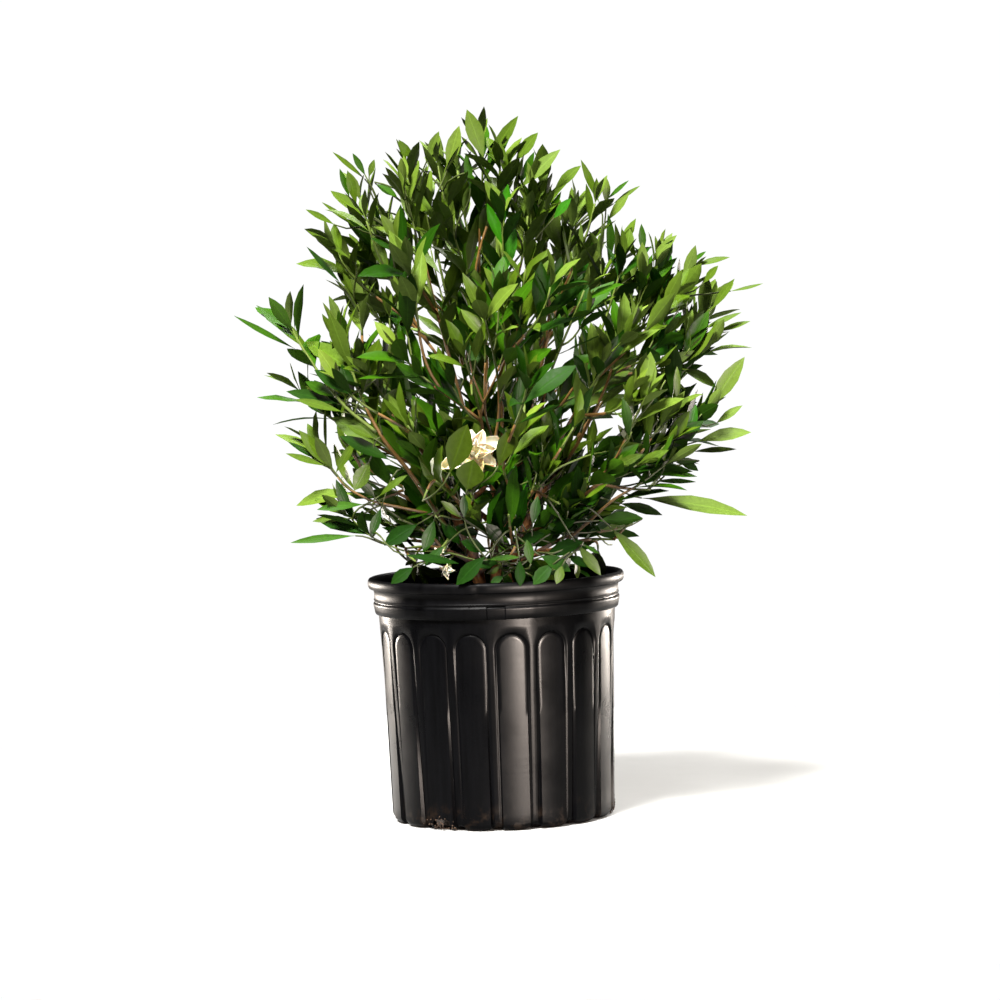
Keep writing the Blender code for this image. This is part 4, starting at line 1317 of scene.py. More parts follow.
# Leaves that stand out: x and z of root and tip, depth and width in millimetres, then droop and shade; a
# sunny shade is painted sunlight, and shaded or deep leaves under the crown carry painted shade.
LONE_LEAVES = (
    (191, 356, 226, 403, -30, 15.5, 0.2, "sunny"),
    (198, 344, 223, 360, -26, 8, 0.1, "sunny"),
    (181, 329, 231, 336, -22, 13.5, 0.55, "sunny"),
    (177, 320, 218, 321, -10, 6.2, 0.15, "olive"),
    (165, 314, 183, 303, -14, 9, 0.2, "holly"),
    (-119, 259, -178, 255, -66, 7.5, 0.25, "holly"),
    (-125, 274, -158, 273, -66, 6.5, 0.3, "olive"),
    (-111, 286, -154, 283, -66, 8.5, 0.4, "holly"),
    (-124, 274, -136, 309, -64, 9.5, 0.1, "deep"),
    (-97, 284, -108, 258, -68, 9, 0.2, "deep"),
    (-102, 291, -115, 307, -68, 9, 0.1, "holly"),
    (-100, 292, -73, 311, -72, 7, 0.5, "olive"),
    (-105, 325, -120, 299, -76, 14.5, 0.1, "olive"),
    (-137, 313, -118, 342, -64, 8, 0.1, "olive"),
    (-140, 317, -167, 353, -62, 12, 0.2, "olive"),
    (-145, 323, -177, 343, -60, 5.5, 0.1, "deep"),
    (-143, 320, -179, 333, -64, 6.5, 0.1, "olive"),
    (-86, 323, -131, 347, -76, 13, 0.2, "deep"),
    (-100, 343, -124, 356, -80, 8.5, 0.2, "olive"),
    (-111, 379, -93, 430, -80, 19, 0.15, "olive"),
    (-95, 363, -79, 387, -84, 11, 0.2, "olive"),
    (-97, 395, -75, 415, -84, 7.5, 0.3, "sunny"),
    (-134, 383, -143, 420, -76, 12, 0.1, "olive"),
    (-118, 376, -127, 409, -74, 13, 0.1, "deep"),
    (-133, 380, -159, 395, -74, 10.5, 0.2, "holly"),
    (-130, 374, -176, 387, -72, 11.5, 0.25, "deep"),
    (-126, 367, -168, 380, -76, 8, 0.15, "olive"),
    (-129, 530, -155, 545, -40, 6, 0.2, "olive"),
    (-116, 500, -155, 527, -36, 6, 0.1, "olive"),
    (-126, 478, -156, 513, -30, 5.5, 0.1, "deep"),
    (-168, 422, -224, 455, -10, 5.6, -0.1, "holly"),
    (-153, 417, -197, 461, -20, 10.5, 0.15, "olive"),
    (-36, 313, -19, 355, -150, 23, 0.1, "dull"),
    (5, 317, 19, 351, -148, 15.5, 0.2, "dull"),
    (-22, 298, -15, 325, -152, 25, 0.1, "dull"),
    (129, 282, 224, 263, -40, 16, 0.45, "sunny"),
    (110, 278, 149, 266, -36, 10.5, 0.3, "holly"),
    (90, 264, 131, 265, -55, 14.5, 0.2, "holly"),
    (101, 259, 140, 213, -60, 13.8, 0.4, "olive"),
    (141, 296, 180, 294, -30, 5.5, 0.15, "holly"),
    (128, 328, 118, 307, -54, 11, 0.1, "holly"),
    (171, 331, 181, 363, -44, 10, 0.1, "vivid"),
    (157, 309, 172, 341, -44, 12.5, 0.1, "holly"),
    (152, 312, 149, 333, -46, 8, 0.1, "olive"),
    (123, 336, 117, 365, -56, 8, 0.1, "olive"),
    (121, 331, 111, 348, -60, 5, 0.1, "young"),
    (98, 357, 116, 370, -66, 13, 0.3, "olive"),
    (146, 349, 175, 369, -50, 11, 0.25, "olive"),
    (164, 364, 165, 397, -48, 6.5, 0.1, "sunny"),
    (183, 312, 162, 312, -36, 8, 0.1, "holly"),
    (3, 583, -11, 628, -30, 15.5, 0.1, "sunny"),
    (6, 583, 34, 621, -28, 11, 0.15, "olive"),
    (29, 580, 51, 606, -24, 12, 0.15, "olive"),
    (32, 556, 70, 590, -34, 13.5, 0.15, "sunny"),
    (62, 554, 88, 576, -20, 10.5, 0.2, "olive"),
    (33, 560, 47, 589, -30, 7.5, 0.1, "holly"),
    (104, 541, 88, 582, -10, 7, 0.1, "olive"),
    (109, 545, 130, 562, -12, 4.5, 0.1, "holly"),
    (114, 541, 140, 557, -10, 4.5, 0.1, "olive"),
    (109, 526, 130, 551, -14, 8.5, 0.1, "sunny"),
    (109, 540, 110, 565, -16, 7.5, 0.1, "young"),
    (-10, 557, -13, 590, -34, 7.5, 0.1, "holly"),
    (-1, 584, -17, 605, -26, 4.5, 0.1, "olive"),
    (-31, 574, -18, 614, -30, 13, 0.1, "young"),
    (-48, 584, -36, 610, -26, 9, 0.1, "sunny"),
    (-58, 583, -72, 604, -24, 7.5, 0.1, "olive"),
    (24, 528, 2, 565, -50, 12, 0.15, "sunny"),
    (23, 562, 17, 600, -32, 7.5, 0.1, "olive"),
    (61, 529, 78, 547, -34, 9, 0.1, "vivid"),
    (-111, 547, -118, 579, -20, 8.5, 0.1, "olive"),
    (-117, 554, -125, 581, -16, 6, 0.1, "holly"),
    (-102, 570, -131, 596, -14, 5, 0.15, "olive"),
    (-102, 573, -113, 594, -18, 6, 0.1, "holly"),
    (-100, 572, -94, 588, -16, 6, 0.1, "sunny"),
    (-95, 567, -75, 554, -20, 8, 0.2, "holly"),
    (-112, 528, -142, 552, -20, 4.5, 0.2, "olive"),
    (215, 461, 246, 467, -12, 3.6, -0.3, "olive"),
    (202, 425, 233, 434, -18, 6, 0.15, "olive"),
    (188, 427, 225, 442, -22, 6, 0.15, "olive"),
    (183, 484, 217, 491, -16, 6.5, 0.3, "olive"),
    (182, 487, 196, 497, -14, 4.5, 0.1, "holly"),
    (145, 487, 170, 512, -26, 9.5, 0.2, "sunny"),
    (140, 495, 139, 523, -24, 7, 0.1, "holly"),
    (134, 492, 124, 515, -22, 6.5, 0.1, "olive"),
    (198, 444, 220, 472, -20, 8, 0.1, "olive"),
    (192, 468, 206, 484, -18, 7.5, 0.1, "olive"),
    (184, 403, 201, 429, -28, 11, 0.2, "sunny"),
    (-69, 233, -90, 219, -104, 11.5, 0.3, "shaded"),
    (-7, 241, -34, 216, -108, 14.5, 0.25, "shaded"),
    (-80, 243, -31, 234, -98, 8, 0.2, "shaded"),
    (-5, 242, -29, 253, -92, 12, 0.2, "shaded"),
    (-8, 236, 22, 238, -104, 5.5, 0.5, "holly"),
    (21, 237, 21, 213, -110, 9.5, 0.2, "shaded"),
    (31, 230, 28, 253, -102, 9, 0.1, "holly"),
    (42, 237, 77, 249, -94, 15, 0.2, "shaded"),
    (38, 239, 65, 224, -102, 13.5, 0.3, "deep"),
    (51, 232, 32, 214, -106, 13, 0.3, "deep"),
    (58, 231, 52, 214, -108, 9, 0.3, "olive"),
    (71, 247, 91, 219, -96, 10.5, 0.4, "olive"),
    (77, 246, 90, 238, -94, 4.5, 0.2, "holly"),
    (61, 238, 81, 227, -98, 9, 0.2, "shaded"),
    (-65, 268, -96, 250, -70, 16, 0.2, "shaded"),
    (-51, 272, -62, 243, -72, 12, 0.2, "deep"),
    (-47, 270, -30, 249, -74, 11, 0.2, "shaded"),
    (-26, 272, -45, 289, -100, 7.5, 0.2, "olive"),
    (-26, 272, -2, 288, -100, 7.5, 0.3, "olive"),
    (-25, 272, -25, 294, -104, 7.5, 0.1, "vivid"),
    (33, 264, 39, 290, -96, 9.5, 0.1, "vivid"),
    (5, 256, 26, 271, -90, 11, 0.2, "shaded"),
    (9, 248, -7, 267, -88, 12, 0.2, "deep"),
    (18, 248, 44, 257, -92, 12, 0.2, "shaded"),
    (-12, 257, -34, 265, -84, 12, 0.2, "shaded"),
    (4, 234, -17, 231, -98, 10, 0.3, "shaded"),
    (47, 255, 71, 267, -84, 12, 0.2, "shaded"),
    (23, 269, 13, 289, -84, 11, 0.1, "deep"),
    (-42, 250, -61, 232, -90, 9, 0.3, "deep"),
    (57, 246, 83, 242, -80, 10, 0.3, "shaded"),
    (8, 222, -5, 215, -96, 7, 0.3, "deep"),
    (30, 222, 42, 212, -100, 7, 0.3, "shaded"),
)


def lone_leaves(growth):
    """Leaves that stand out one by one, and the twig that carries each."""
    grown_paths = [path for _, shoots, twigs in growth for path in shoots + twigs]
    skeleton = [point_at(path, i / 12) for path in grown_paths for i in range(1, 12)]
    skeleton += [point_at(path, i / 24) for *_, path in shown_shoots() for i in range(4, 24)]
    leaves, stalks = [], []
    for *sizes, droop, tone in LONE_LEAVES:
        x, z, tip_x, tip_z, y, width = metres(sizes)
        root, tip = Vector((x, y, z)), Vector((tip_x, y - 0.004, tip_z))
        way = (tip - root).normalized()
        upward = Vector((0, -1, 0.55)) if abs(way.z) < 0.8 else Vector((0.1, -1, 0.2))
        face = (upward - way * upward.dot(way)).normalized()
        along = (way * math.cos(droop / 2) + face * math.sin(droop / 2)).normalized()
        face = (face * math.cos(droop / 2) - way * math.sin(droop / 2)).normalized()
        leaves.append((tone, root, along, face, (tip - root).length, width, droop))
        start, heading = min(skeleton, key=lambda found: (found[0] - root + way * 0.03).length)
        stalks.append(bend(start, (heading + along).normalized(), root + along * 0.002, along, 6))
    return leaves, stalks


def leaf_plan(growth):
    """Every leafy path, as (kind, path), with the leading shoots last."""
    plan = []
    for _, shoots, twigs in growth:
        plan += [("shoot", path) for path in shoots] + [("twig", path) for path in twigs]
    plan += [("leading", path) for path in leading_shoots(growth)]
    plan += [("twig", path) for path in leading_twigs(growth)]
    return plan + [("shown", path) for kind, _, _, path in shown_shoots() if kind != "bare"]


def frames_along(points):
    """A turned frame at each point of a path, with little twist."""
    tangents = []
    for i in range(len(points)):
        tangents.append((points[min(i + 1, len(points) - 1)] - points[max(i - 1, 0)]).normalized())
    turn = Vector((0, 0, 1)).rotation_difference(tangents[0])
    turns = [turn]
    for before, after in zip(tangents, tangents[1:]):
        turn = before.rotation_difference(after) @ turn
        turns.append(turn)
    return turns


def add_limb(bm, points, radii, sides, relief, seed):
    """A tapering limb: a ring extruded along a path, ridged and swollen at each old leaf pair."""
    turns = frames_along(points)
    verts = bmesh.ops.create_circle(bm, segments=sides, radius=1)["verts"]
    edges = list({e for v in verts for e in v.link_edges})
    first = edges
    walked = 0.0
    for step, (point, radius, turn) in enumerate(zip(points, radii, turns)):
        if step:
            geometry = bmesh.ops.extrude_edge_only(bm, edges=edges)["geom"]
            edges = [g for g in geometry if isinstance(g, bmesh.types.BMEdge)]
            fresh = {g for g in geometry if isinstance(g, bmesh.types.BMVert)}
            verts = [next(e.other_vert(v) for e in v.link_edges if e.other_vert(v) in fresh) for v in verts]
            walked += (point - points[step - 1]).length
        knot = 1 + 0.10 * math.exp(-(((walked % 0.021) - 0.0105) / 0.0022) ** 2)
        for i, v in enumerate(verts):
            a = math.tau * i / sides
            ridge = noise.noise(Vector((3 * math.cos(a), 3 * math.sin(a), walked * 70 + seed)))
            size = radius * knot * (1 + relief * ridge)
            v.co = point + turn @ Vector((size * math.cos(a), size * math.sin(a), 0))
    bmesh.ops.contextual_create(bm, geom=first)
    bmesh.ops.contextual_create(bm, geom=edges)


def build_limbs(settings, stems, boughs):
    """Stems with their root flare and boughs with a collar, both under the bark's relief."""
    bm = bmesh.new()
    for number, path in enumerate(stems):
        radii = tapered(STEM_FOOT_RADIUS, STEM_TIP_RADIUS, len(path))
        for i in range(6):
            radii[i] *= 1 + 0.38 * (1 - i / 6) ** 2.2
        add_limb(bm, path, radii, 16, settings.relief, number * 7)
    for v in bm.verts:
        v.co.z = max(v.co.z, MIX_TOP - 0.002)
    bmesh.ops.recalc_face_normals(bm, faces=bm.faces)
    bark = bark_finish(settings)
    add_piece("stems_with_bark", mesh_from("stems_with_bark", bm, 60), [bark], nodes_of("stem_"))
    bm = bmesh.new()
    for number, path in enumerate(boughs.values()):
        radii = tapered(BOUGH_ROOT_RADIUS, BOUGH_TIP_RADIUS, len(path))
        for i in range(3):
            radii[i] *= 1 + 0.30 * (1 - i / 3)
        add_limb(bm, path, radii, 10, settings.relief, 50 + number * 7)
    bmesh.ops.recalc_face_normals(bm, faces=bm.faces)
    add_piece("boughs_with_bark", mesh_from("boughs_with_bark", bm, 60), [bark], nodes_of("bough_"))


def tubes(paths, radii, sides):
    """Points of tapering tubes round many paths at once, closed at both ends, and one tube's faces."""
    paths = np.array([[tuple(p) for p in path] for path in paths])
    count, rings = paths.shape[:2]
    ahead = np.gradient(paths, axis=1)
    ahead /= np.linalg.norm(ahead, axis=2, keepdims=True)
    side = np.cross(ahead[:, 0], (0.31, 0.52, 0.79))
    corners = np.arange(sides) * math.tau / sides
    points = np.zeros((count, rings, sides, 3))
    for ring in range(rings):
        side = side - (side * ahead[:, ring]).sum(1, keepdims=True) * ahead[:, ring]
        side /= np.linalg.norm(side, axis=1, keepdims=True)
        other = np.cross(ahead[:, ring], side)
        for i, a in enumerate(corners):
            out = side * math.cos(a) + other * math.sin(a)
            points[:, ring, i] = paths[:, ring] + out * radii[:, ring, None]
    points = points.reshape(count, rings * sides, 3)
    faces = []
    for ring in range(rings - 1):
        for i in range(sides):
            j = (i + 1) % sides
            low, high = ring * sides, (ring + 1) * sides
            faces.append([low + i, low + j, high + j, high + i])
    faces.append(list(range(sides))[::-1])
    faces.append([(rings - 1) * sides + i for i in range(sides)])
    return points, faces


def add_tubes(name, paths, radii, sides, made, nodes=()):
    """Tubes round many paths, joined into one piece."""
    add_piece(name, joined_mesh(name, *tubes(paths, radii, sides)), [made], nodes)


def build_twigs(settings, growth):
    """Shoots that are woody inside the crown and green outside, and the green side twigs."""
    leaders = [shoots[0] for _, shoots, _ in growth]
    others = [path for _, shoots, _ in growth for path in shoots[1:]] + leading_shoots(growth)
    shoots = leaders + others
    radii = [tapered(0.0019, 0.0009, 12)] * len(leaders) + [tapered(0.0015, 0.0009, 12)] * len(others)
    radii = np.array(radii)
    bark = tuple(settings.young_bark)
    green = tuple(settings.green_wood)
    wood = twig_finish("twig_woody", bark, shade(bark, 0.5))
    young = twig_finish("twig_green", green, shade(green, 0.6))
    # Painted shade: a darker copy of the green wood for the bare twigs and the lone leaves' stalks that lie
    # in the crown's shadow.
    shaded = twig_finish("twig_shaded", shade(green, 0.42), shade(green, 0.26))
    inner = [path[:7] for path in shoots]
    add_tubes("shoots_woody", inner, radii[:, :7], 6, wood, nodes_of("foliage_"))
    add_tubes("shoots_green", [path[6:] for path in shoots], radii[:, 6:], 6, young)
    for name, made, kind, part in (
        ("shown_woody", wood, "woody", slice(0, 17)),
        ("shown_tips", young, "woody", slice(16, 24)),
        ("shown_green", young, "green", slice(0, 24)),
        ("shown_bare", shaded, "bare", slice(0, 24)),
    ):
        shown = [found for found in shown_shoots() if found[0] == kind]
        radii = np.array([tapered(first, last, 24)[part] for _, first, last, _ in shown])
        add_tubes(name, [path[part] for *_, path in shown], radii, 8, made)
    twigs = [path for _, _, twigs in growth for path in twigs] + leading_twigs(growth)
    stalks = lone_leaves(growth)[1]
    for name, made, paths in (("twigs_green", young, twigs), ("twigs_shaded", shaded, stalks)):
        add_tubes(name, paths, np.array([tapered(0.00105, 0.00065, 6)] * len(paths)), 5, made)


# Leaves

LEAF_ROWS = (0.0, 0.09, 0.27, 0.46, 0.65, 0.85, 1.0)
# Colours of the upper and the under side, and the gloss. Besides the leaves' own tones they carry painted
# light: "shaded" and "deep" are painted shade for leaves low and inside the crown as well as old leaves' dark
# green, "sunny" is painted sunlight on the crown's top, and "vivid" is partly painted light shining through a
# leaf.
SHADES = {
    "shaded": ((0.004, 0.019, 0.001), (0.007, 0.022, 0.001), 0.010),
    "deep": ((0.007, 0.030, 0.001), (0.011, 0.034, 0.002), 0.030),
    "holly": ((0.017, 0.058, 0.001), (0.023, 0.062, 0.003), 0.040),
    "dull": ((0.022, 0.038, 0.002), (0.024, 0.040, 0.003), 0.015),
    "olive": ((0.042, 0.078, 0.004), (0.047, 0.082, 0.007), 0.050),
    "vivid": ((0.014, 0.082, 0.001), (0.020, 0.074, 0.002), 0.070),
    "sunny": ((0.065, 0.108, 0.012), (0.068, 0.108, 0.018), 0.070),
    "young": ((0.086, 0.136, 0.015), (0.088, 0.134, 0.020), 0.070),
}


def leaf_template():
    """A flat leaf of its own outline: corners as (share across, share along, under) and its faces."""
    bm = bmesh.new()
    bmesh.ops.create_grid(bm, x_segments=2, y_segments=len(LEAF_ROWS) - 1, size=1)
    for v in bm.verts:
        v.co = (v.co.x, LEAF_ROWS[round((v.co.y + 1) / 2 * (len(LEAF_ROWS) - 1))], 0)
    lower = bmesh.ops.duplicate(bm, geom=bm.verts[:] + bm.edges[:] + bm.faces[:])["geom"]
    under = [g for g in lower if isinstance(g, bmesh.types.BMFace)]
    bmesh.ops.reverse_faces(bm, faces=under)
    for face in under:
        face.material_index = 1
    for v in (g for g in lower if isinstance(g, bmesh.types.BMVert)):
        inside = abs(v.co.x) < 0.99 and 0 < v.co.y < 1
        v.co.z = -1 if inside else 0
    for v in bm.verts:
        if v.co.y in (0, 1):
            v.co.x = 0
    bmesh.ops.remove_doubles(bm, verts=bm.verts, dist=1e-5)
    points, faces = shape_of(bm)
    kinds = [f.material_index for f in bm.faces]
    bm.free()
    return points, faces, kinds


def leaf_outline(t):
    """Half width of a leaf as a share of its widest, from the stalk to the drawn-out point."""
    body = np.clip((t - 0.07) / 0.93, 0, 1)
    curve = body**1.30 * (1 - body) ** 1.15
    return np.maximum(curve / 0.1848, 0.085 * (t < 0.999))


class Spray:
    """The leaves dealt so far to one shade."""

    def __init__(self):
        self.leaves = []

    def add(self, root, along, face, length, width, droop, fold, twist):
        self.leaves.append((*root, *along, *face, length, width, droop, fold, twist))


def leaf_points(template, leaves):
    """Every leaf's points, bent along its length, folded at its midrib and twisted."""
    data = np.array(leaves)
    root, along, face = data[:, 0:3], data[:, 3:6], data[:, 6:9]
    length, width, droop, fold, twist = (data[:, i, None] for i in range(9, 14))
    across = np.cross(along, face)
    x, t, under = template[:, 0][None, :], template[:, 1][None, :], template[:, 2][None, :]
    half = x * leaf_outline(t) * width / 2
    wave = 0.035 * width * np.sin(t * 17 + twist * 40) * np.abs(x)
    lift = np.abs(half) * np.tan(fold) + wave + under * 0.00040 * (1 - np.abs(x))
    turn = twist * t
    half, lift = half * np.cos(turn) - lift * np.sin(turn), half * np.sin(turn) + lift * np.cos(turn)
    bent = np.where(np.abs(droop) < 1e-4, 1e-4, droop)
    ahead = length * np.sin(bent * t) / bent - lift * np.sin(-bent * t)
    rise = -length * (1 - np.cos(bent * t)) / bent + lift * np.cos(bent * t)
    return (
        root[:, None, :]
        + half[..., None] * across[:, None, :]
        + ahead[..., None] * along[:, None, :]
        + rise[..., None] * face[:, None, :]
    )


def add_leaves(name, template, leaves, materials):
    """One joined piece of leaves, with a map over each leaf and a crisp outline."""
    points, faces, kinds = template
    mesh = joined_mesh(name, leaf_points(points, leaves), faces)
    count = len(leaves)
    mesh.polygons.foreach_set("material_index", np.tile(np.array(kinds, np.int32), count))
    corners = np.concatenate([np.array(f) for f in faces])
    uv = np.stack([points[corners, 0] * 0.5 + 0.5, points[corners, 1]], axis=1)
    layer = mesh.uv_layers.new(name="leaf")
    layer.data.foreach_set("uv", np.tile(uv, (count, 1)).astype(np.float32).ravel())
    rim = (np.abs(points[:, 0]) > 0.99) | (points[:, 1] < 1e-4) | (points[:, 1] > 0.9999)
    ends = np.zeros(len(mesh.edges) * 2, np.int32)
    mesh.edges.foreach_get("vertices", ends)
    crisp = rim[ends.reshape(-1, 2) % len(points)].all(axis=1)
    sharp = mesh.attributes.new("sharp_edge", "BOOLEAN", "EDGE")
    sharp.data.foreach_set("value", crisp)
    add_piece(name, mesh, materials)


def lean_leaf(root, along, turn, lean, sway):
    """A leaf's way and its upper side, which faces the shoot's tip, turned a little to the light or aside."""
    across = side_way(along, turn)
    way = (along * math.cos(lean) + across * math.sin(lean)).normalized()
    face = along * math.sin(lean) - across * math.cos(lean)
    face = face + (root - HEART).normalized() * 0.40 + Vector((0, -0.05, 0.22)) + sway
    face = (face - way * face.dot(way)).normalized()
    return way, face


def leaf_fits(root, way, face, length, droop, limbs, reach, wood):
    """Whether a leaf keeps to a reach, off the pot and off the limbs."""
    spots = []
    for share in (0.2, 0.45, 0.75, 1.0):
        bent = droop * share
        spot = root + way * length * share * math.cos(bent / 2) - face * length * share * math.sin(bent / 2)
        offset = spot - HEART
        if offset.length > reach(offset.normalized()) + 0.006:
            return False
        if in_pot(spot) and math.hypot(spot.x, spot.y) < 0.120:
            return False
        spots.append(spot)
    return not touches_limb(limbs, spots[1:]) and not hides_wood(wood, spots)


def leafy(path, kind, chance, settings, limbs, wood, spray, tips):
    """Deals leaves to a path: a small steep group at its tip, then pairs and threes further apart."""
    length = path_length(path)
    back = 0.0
    turn = chance.uniform(0, math.tau)
    number = 0
    bare = BARE_TWIG if kind == "twig" else length * BARE_SHARES[kind]
    reach = crown_reach if kind in ("leading", "shown") else bulk_reach
    while back < length - bare:
        root, along = point_at(path, max(0.0, 1 - back / length - 1e-4))
        lift = smooth((root.z - 0.34) / 0.24)
        if number > 1 and chance.random() < 0.05 + 0.17 * lift:
            back += SKIPPED_STEP
            number += 1
            continue
        whorl = 3 if (number == 0 or chance.random() < THREES) else 2
        turn += math.pi / 2 if whorl == 2 else math.pi / 3
        turn += chance.uniform(-0.3, 0.3)
        for side in range(whorl):
            size = chance.uniform(*LEAF_SIZES[min(number, 2)])
            lean = chance.uniform(*LEAF_LEANS[min(number, 2)])
            droop = chance.uniform(-0.2, 0.6)
            sway = Vector([chance.gauss(0, SWAY) for _ in range(3)])
            for attempt in range(4):
                around = turn + math.tau * side / whorl + (chance.uniform(-0.5, 0.5) if attempt else 0)
                way, face = lean_leaf(root, along, around, math.radians(lean * (1 - 0.15 * attempt)), sway)
                long = settings.length * size * (1 - 0.08 * attempt) * (1 - 0.10 * lift)
                if leaf_fits(root, way, face, long, droop, limbs, reach, wood):
                    wide = settings.width * size**1.2 * chance.uniform(0.80, 1.15)
                    fold = math.radians(chance.uniform(5, 26))
                    twist = chance.uniform(-0.4, 0.4)
                    (tips if number == 0 else spray).add(root, way, face, long, wide, droop, fold, twist)
                    break
        back += LEAF_STEPS[min(number, 3)] + chance.uniform(-0.003, 0.006)
        number += 1


def deal_shade(root, chance):
    """Picks a spray's colour: darker deep inside the crown and low down, partly old leaves and partly painted
    shade, and brighter towards its outside and its top, which is painted sunlight.
    """
    offset = root - HEART
    lift = smooth((root.z - 0.30) / 0.30)
    depth = offset.length / crown_reach(offset.normalized())
    names = ("deep", "holly", "olive", "vivid", "sunny")
    if depth < 0.45:
        weights = (7 - 6.6 * lift, 3 - 1.5 * lift, 4 * lift, 0.7, 3 * lift)
    elif depth < 0.72:
        weights = (6 - 5.6 * lift, 5 - 3.5 * lift, 2 + 4 * lift, 1, 0.2 + 5 * lift)
    else:
        weights = (4 - 4 * lift, 6 - 5 * lift, 4 + 2 * lift, 1, 0.6 + 7 * lift)
    return chance.choices(names, weights)[0]


def build_leaves(settings, growth, limbs, stems):
    wood = shown_places(stems)
    sprays = {name: Spray() for name in SHADES}
    for number, (kind, path) in enumerate(leaf_plan(growth)):
        chance = random.Random(f"{SEED} leaves {number}")
        shade_name = deal_shade(path[-1], chance)
        # Tip leaves get lighter higher up: partly young leaves, partly painted sunlight on the crown's top.
        high = smooth((path[-1].z - 0.30) / 0.22)
        weights = (0.3 + 3 * (1 - high), 0.8 + 2 * high, 0.2 + 0.5 * high)
        tip_name = chance.choices(("olive", "sunny", "young"), weights)[0]
        leafy(path, kind, chance, settings, limbs, wood, sprays[shade_name], sprays[tip_name])
    for tone, *leaf in lone_leaves(growth)[0]:
        sprays[tone].add(*leaf, 0.22, 0.12)
    template = leaf_template()
    for name, (upper, under, gloss) in SHADES.items():
        skins = [
            leaf_finish(f"leaf_{name}_upper", upper, 0.46, gloss),
            leaf_finish(f"leaf_{name}_under", under, 0.60, gloss / 2),
        ]
        add_leaves(f"leaves_{name}", template, sprays[name].leaves, skins)


# Bloom


def add_petal(bm, at, faces_way, turn, openness, length, width, seed):
    """A petal shaped from a grid: narrow claw, round blade, rolled edge, and a crumple where it wilts."""
    across = side_way(faces_way, turn)
    way = (across * math.sin(openness) + faces_way * math.cos(openness)).normalized()
    up = (faces_way * math.sin(openness) - across * math.cos(openness)).normalized()
    side = way.cross(up)
    made = bmesh.ops.create_grid(bm, x_segments=6, y_segments=8, size=1)["verts"]
    for v in made:
        x, t = v.co.x, (v.co.y + 1) / 2
        half = width / 2 * (0.16 + 0.84 * math.sin(math.pi * min(1, t**0.8 * 0.94)) ** 0.8)
        curl = -0.35 * length * t**2 + 0.0022 * x * x
        crumple = 0.0021 * noise.noise(Vector((x * 2.2, t * 3.1, seed * 5.3))) * t
        v.co = at + way * (length * t) + side * (half * x) + up * (curl + crumple + 0.004 * t * x * x)


def petal_mesh(name, blooms, size):
    """Petals of every bloom in one mesh with a thin wall."""
    bm = bmesh.new()
    chance = random.Random(name)
    for at, way, scale, rings in blooms:
        for count, openness, share in rings:
            offset = chance.uniform(0, math.tau)
            for petal in range(count):
                turn = offset + math.tau * petal / count + chance.uniform(-0.15, 0.15)
                open_by = math.radians(openness + chance.uniform(-10, 12))
                long = size * share * scale * chance.uniform(0.85, 1.1)
                wide = long * chance.uniform(0.52, 0.72)
                add_petal(bm, at, way, turn, open_by, long, wide, chance.random() * 9)
    bmesh.ops.recalc_face_normals(bm, faces=bm.faces)
    bmesh.ops.solidify(bm, geom=bm.faces[:], thickness=0.00035)
    return mesh_from(name, bm, 55)


def nearest_twig(growth, spot):
    """The point on a twig or shoot nearest to a spot, with its heading."""
    best = None
    for _, shoots, twigs in growth:
        for path in shoots + twigs:
            for share in (0.3, 0.6, 0.9):
                point, along = point_at(path, share)
                away = (point - spot).length
                if best is None or away < best[0]:
                    best = (away, point, along)
    return best[1], best[2]


def build_blooms(settings, wood, growth):
    """The open bloom and two spent ones, each on a stalk from the twig next to it."""
    rings = ((6, 68, 1.0), (5, 44, 0.82), (4, 20, 0.62))
    spent = ((5, 24, 1.0), (3, 10, 0.8))
    blooms = [(BLOOM_AT, BLOOM_FACES, 1.0, rings)]
    stalks = []
    for spot in SPENT_BLOOMS:
        blooms.append((Vector(spot), SPENT_FACES, SPENT_SCALE, spent))
    for at, way, *_ in blooms:
        root, along = nearest_twig(growth, at - way * 0.02)
        stalks.append(bend(root, along, at + way * 0.002, way, 8))
    mesh = petal_mesh("bloom_petals", blooms, settings.petal)
    add_piece("bloom_petals", mesh, [petal_finish(settings)])
    green = tuple(wood.green_wood)
    radii = np.array([[0.0009, 0.0009, 0.0010, 0.0011, 0.0014, 0.0022, 0.0030, 0.0016]] * len(stalks))
    finish = twig_finish("stalk_green", green, shade(green, 0.7))
    add_tubes("bloom_stalks", stalks, radii, 7, finish)


# Stage


def add_strip(name, place, wide, tall, power, colour):
    """An upright lamp, no higher than the pot, that shows only in reflections."""
    light = bpy.data.lights.new(name, "AREA")
    light.shape = "RECTANGLE"
    light.size = wide
    light.size_y = tall
    light.energy = power
    light.color = colour
    light.spread = math.radians(30)
    obj = in_scene(name, light)
    obj.location = place
    obj.rotation_euler = (Vector((0, 0, place[2])) - Vector(place)).to_track_quat("-Z", "Y").to_euler()
    obj.visible_diffuse = False
    obj.visible_camera = False


def add_sun(name, strength, way, spread):
    """Broad daylight that travels one way, softened by its spread."""
    light = bpy.data.lights.new(name, "SUN")
    light.energy = strength
    light.angle = math.radians(spread)
    light.color = (1.0, 0.985, 0.95)
    in_scene(name, light).rotation_euler = Vector(way).to_track_quat("-Z", "Y").to_euler()


def build_floor(settings):
    bm = bmesh.new()
    bmesh.ops.create_circle(bm, cap_ends=True, segments=128, radius=settings.floor_radius)
    floor = in_scene("floor", mesh_from("floor", bm))
    floor.data.materials.append(floor_finish(settings))


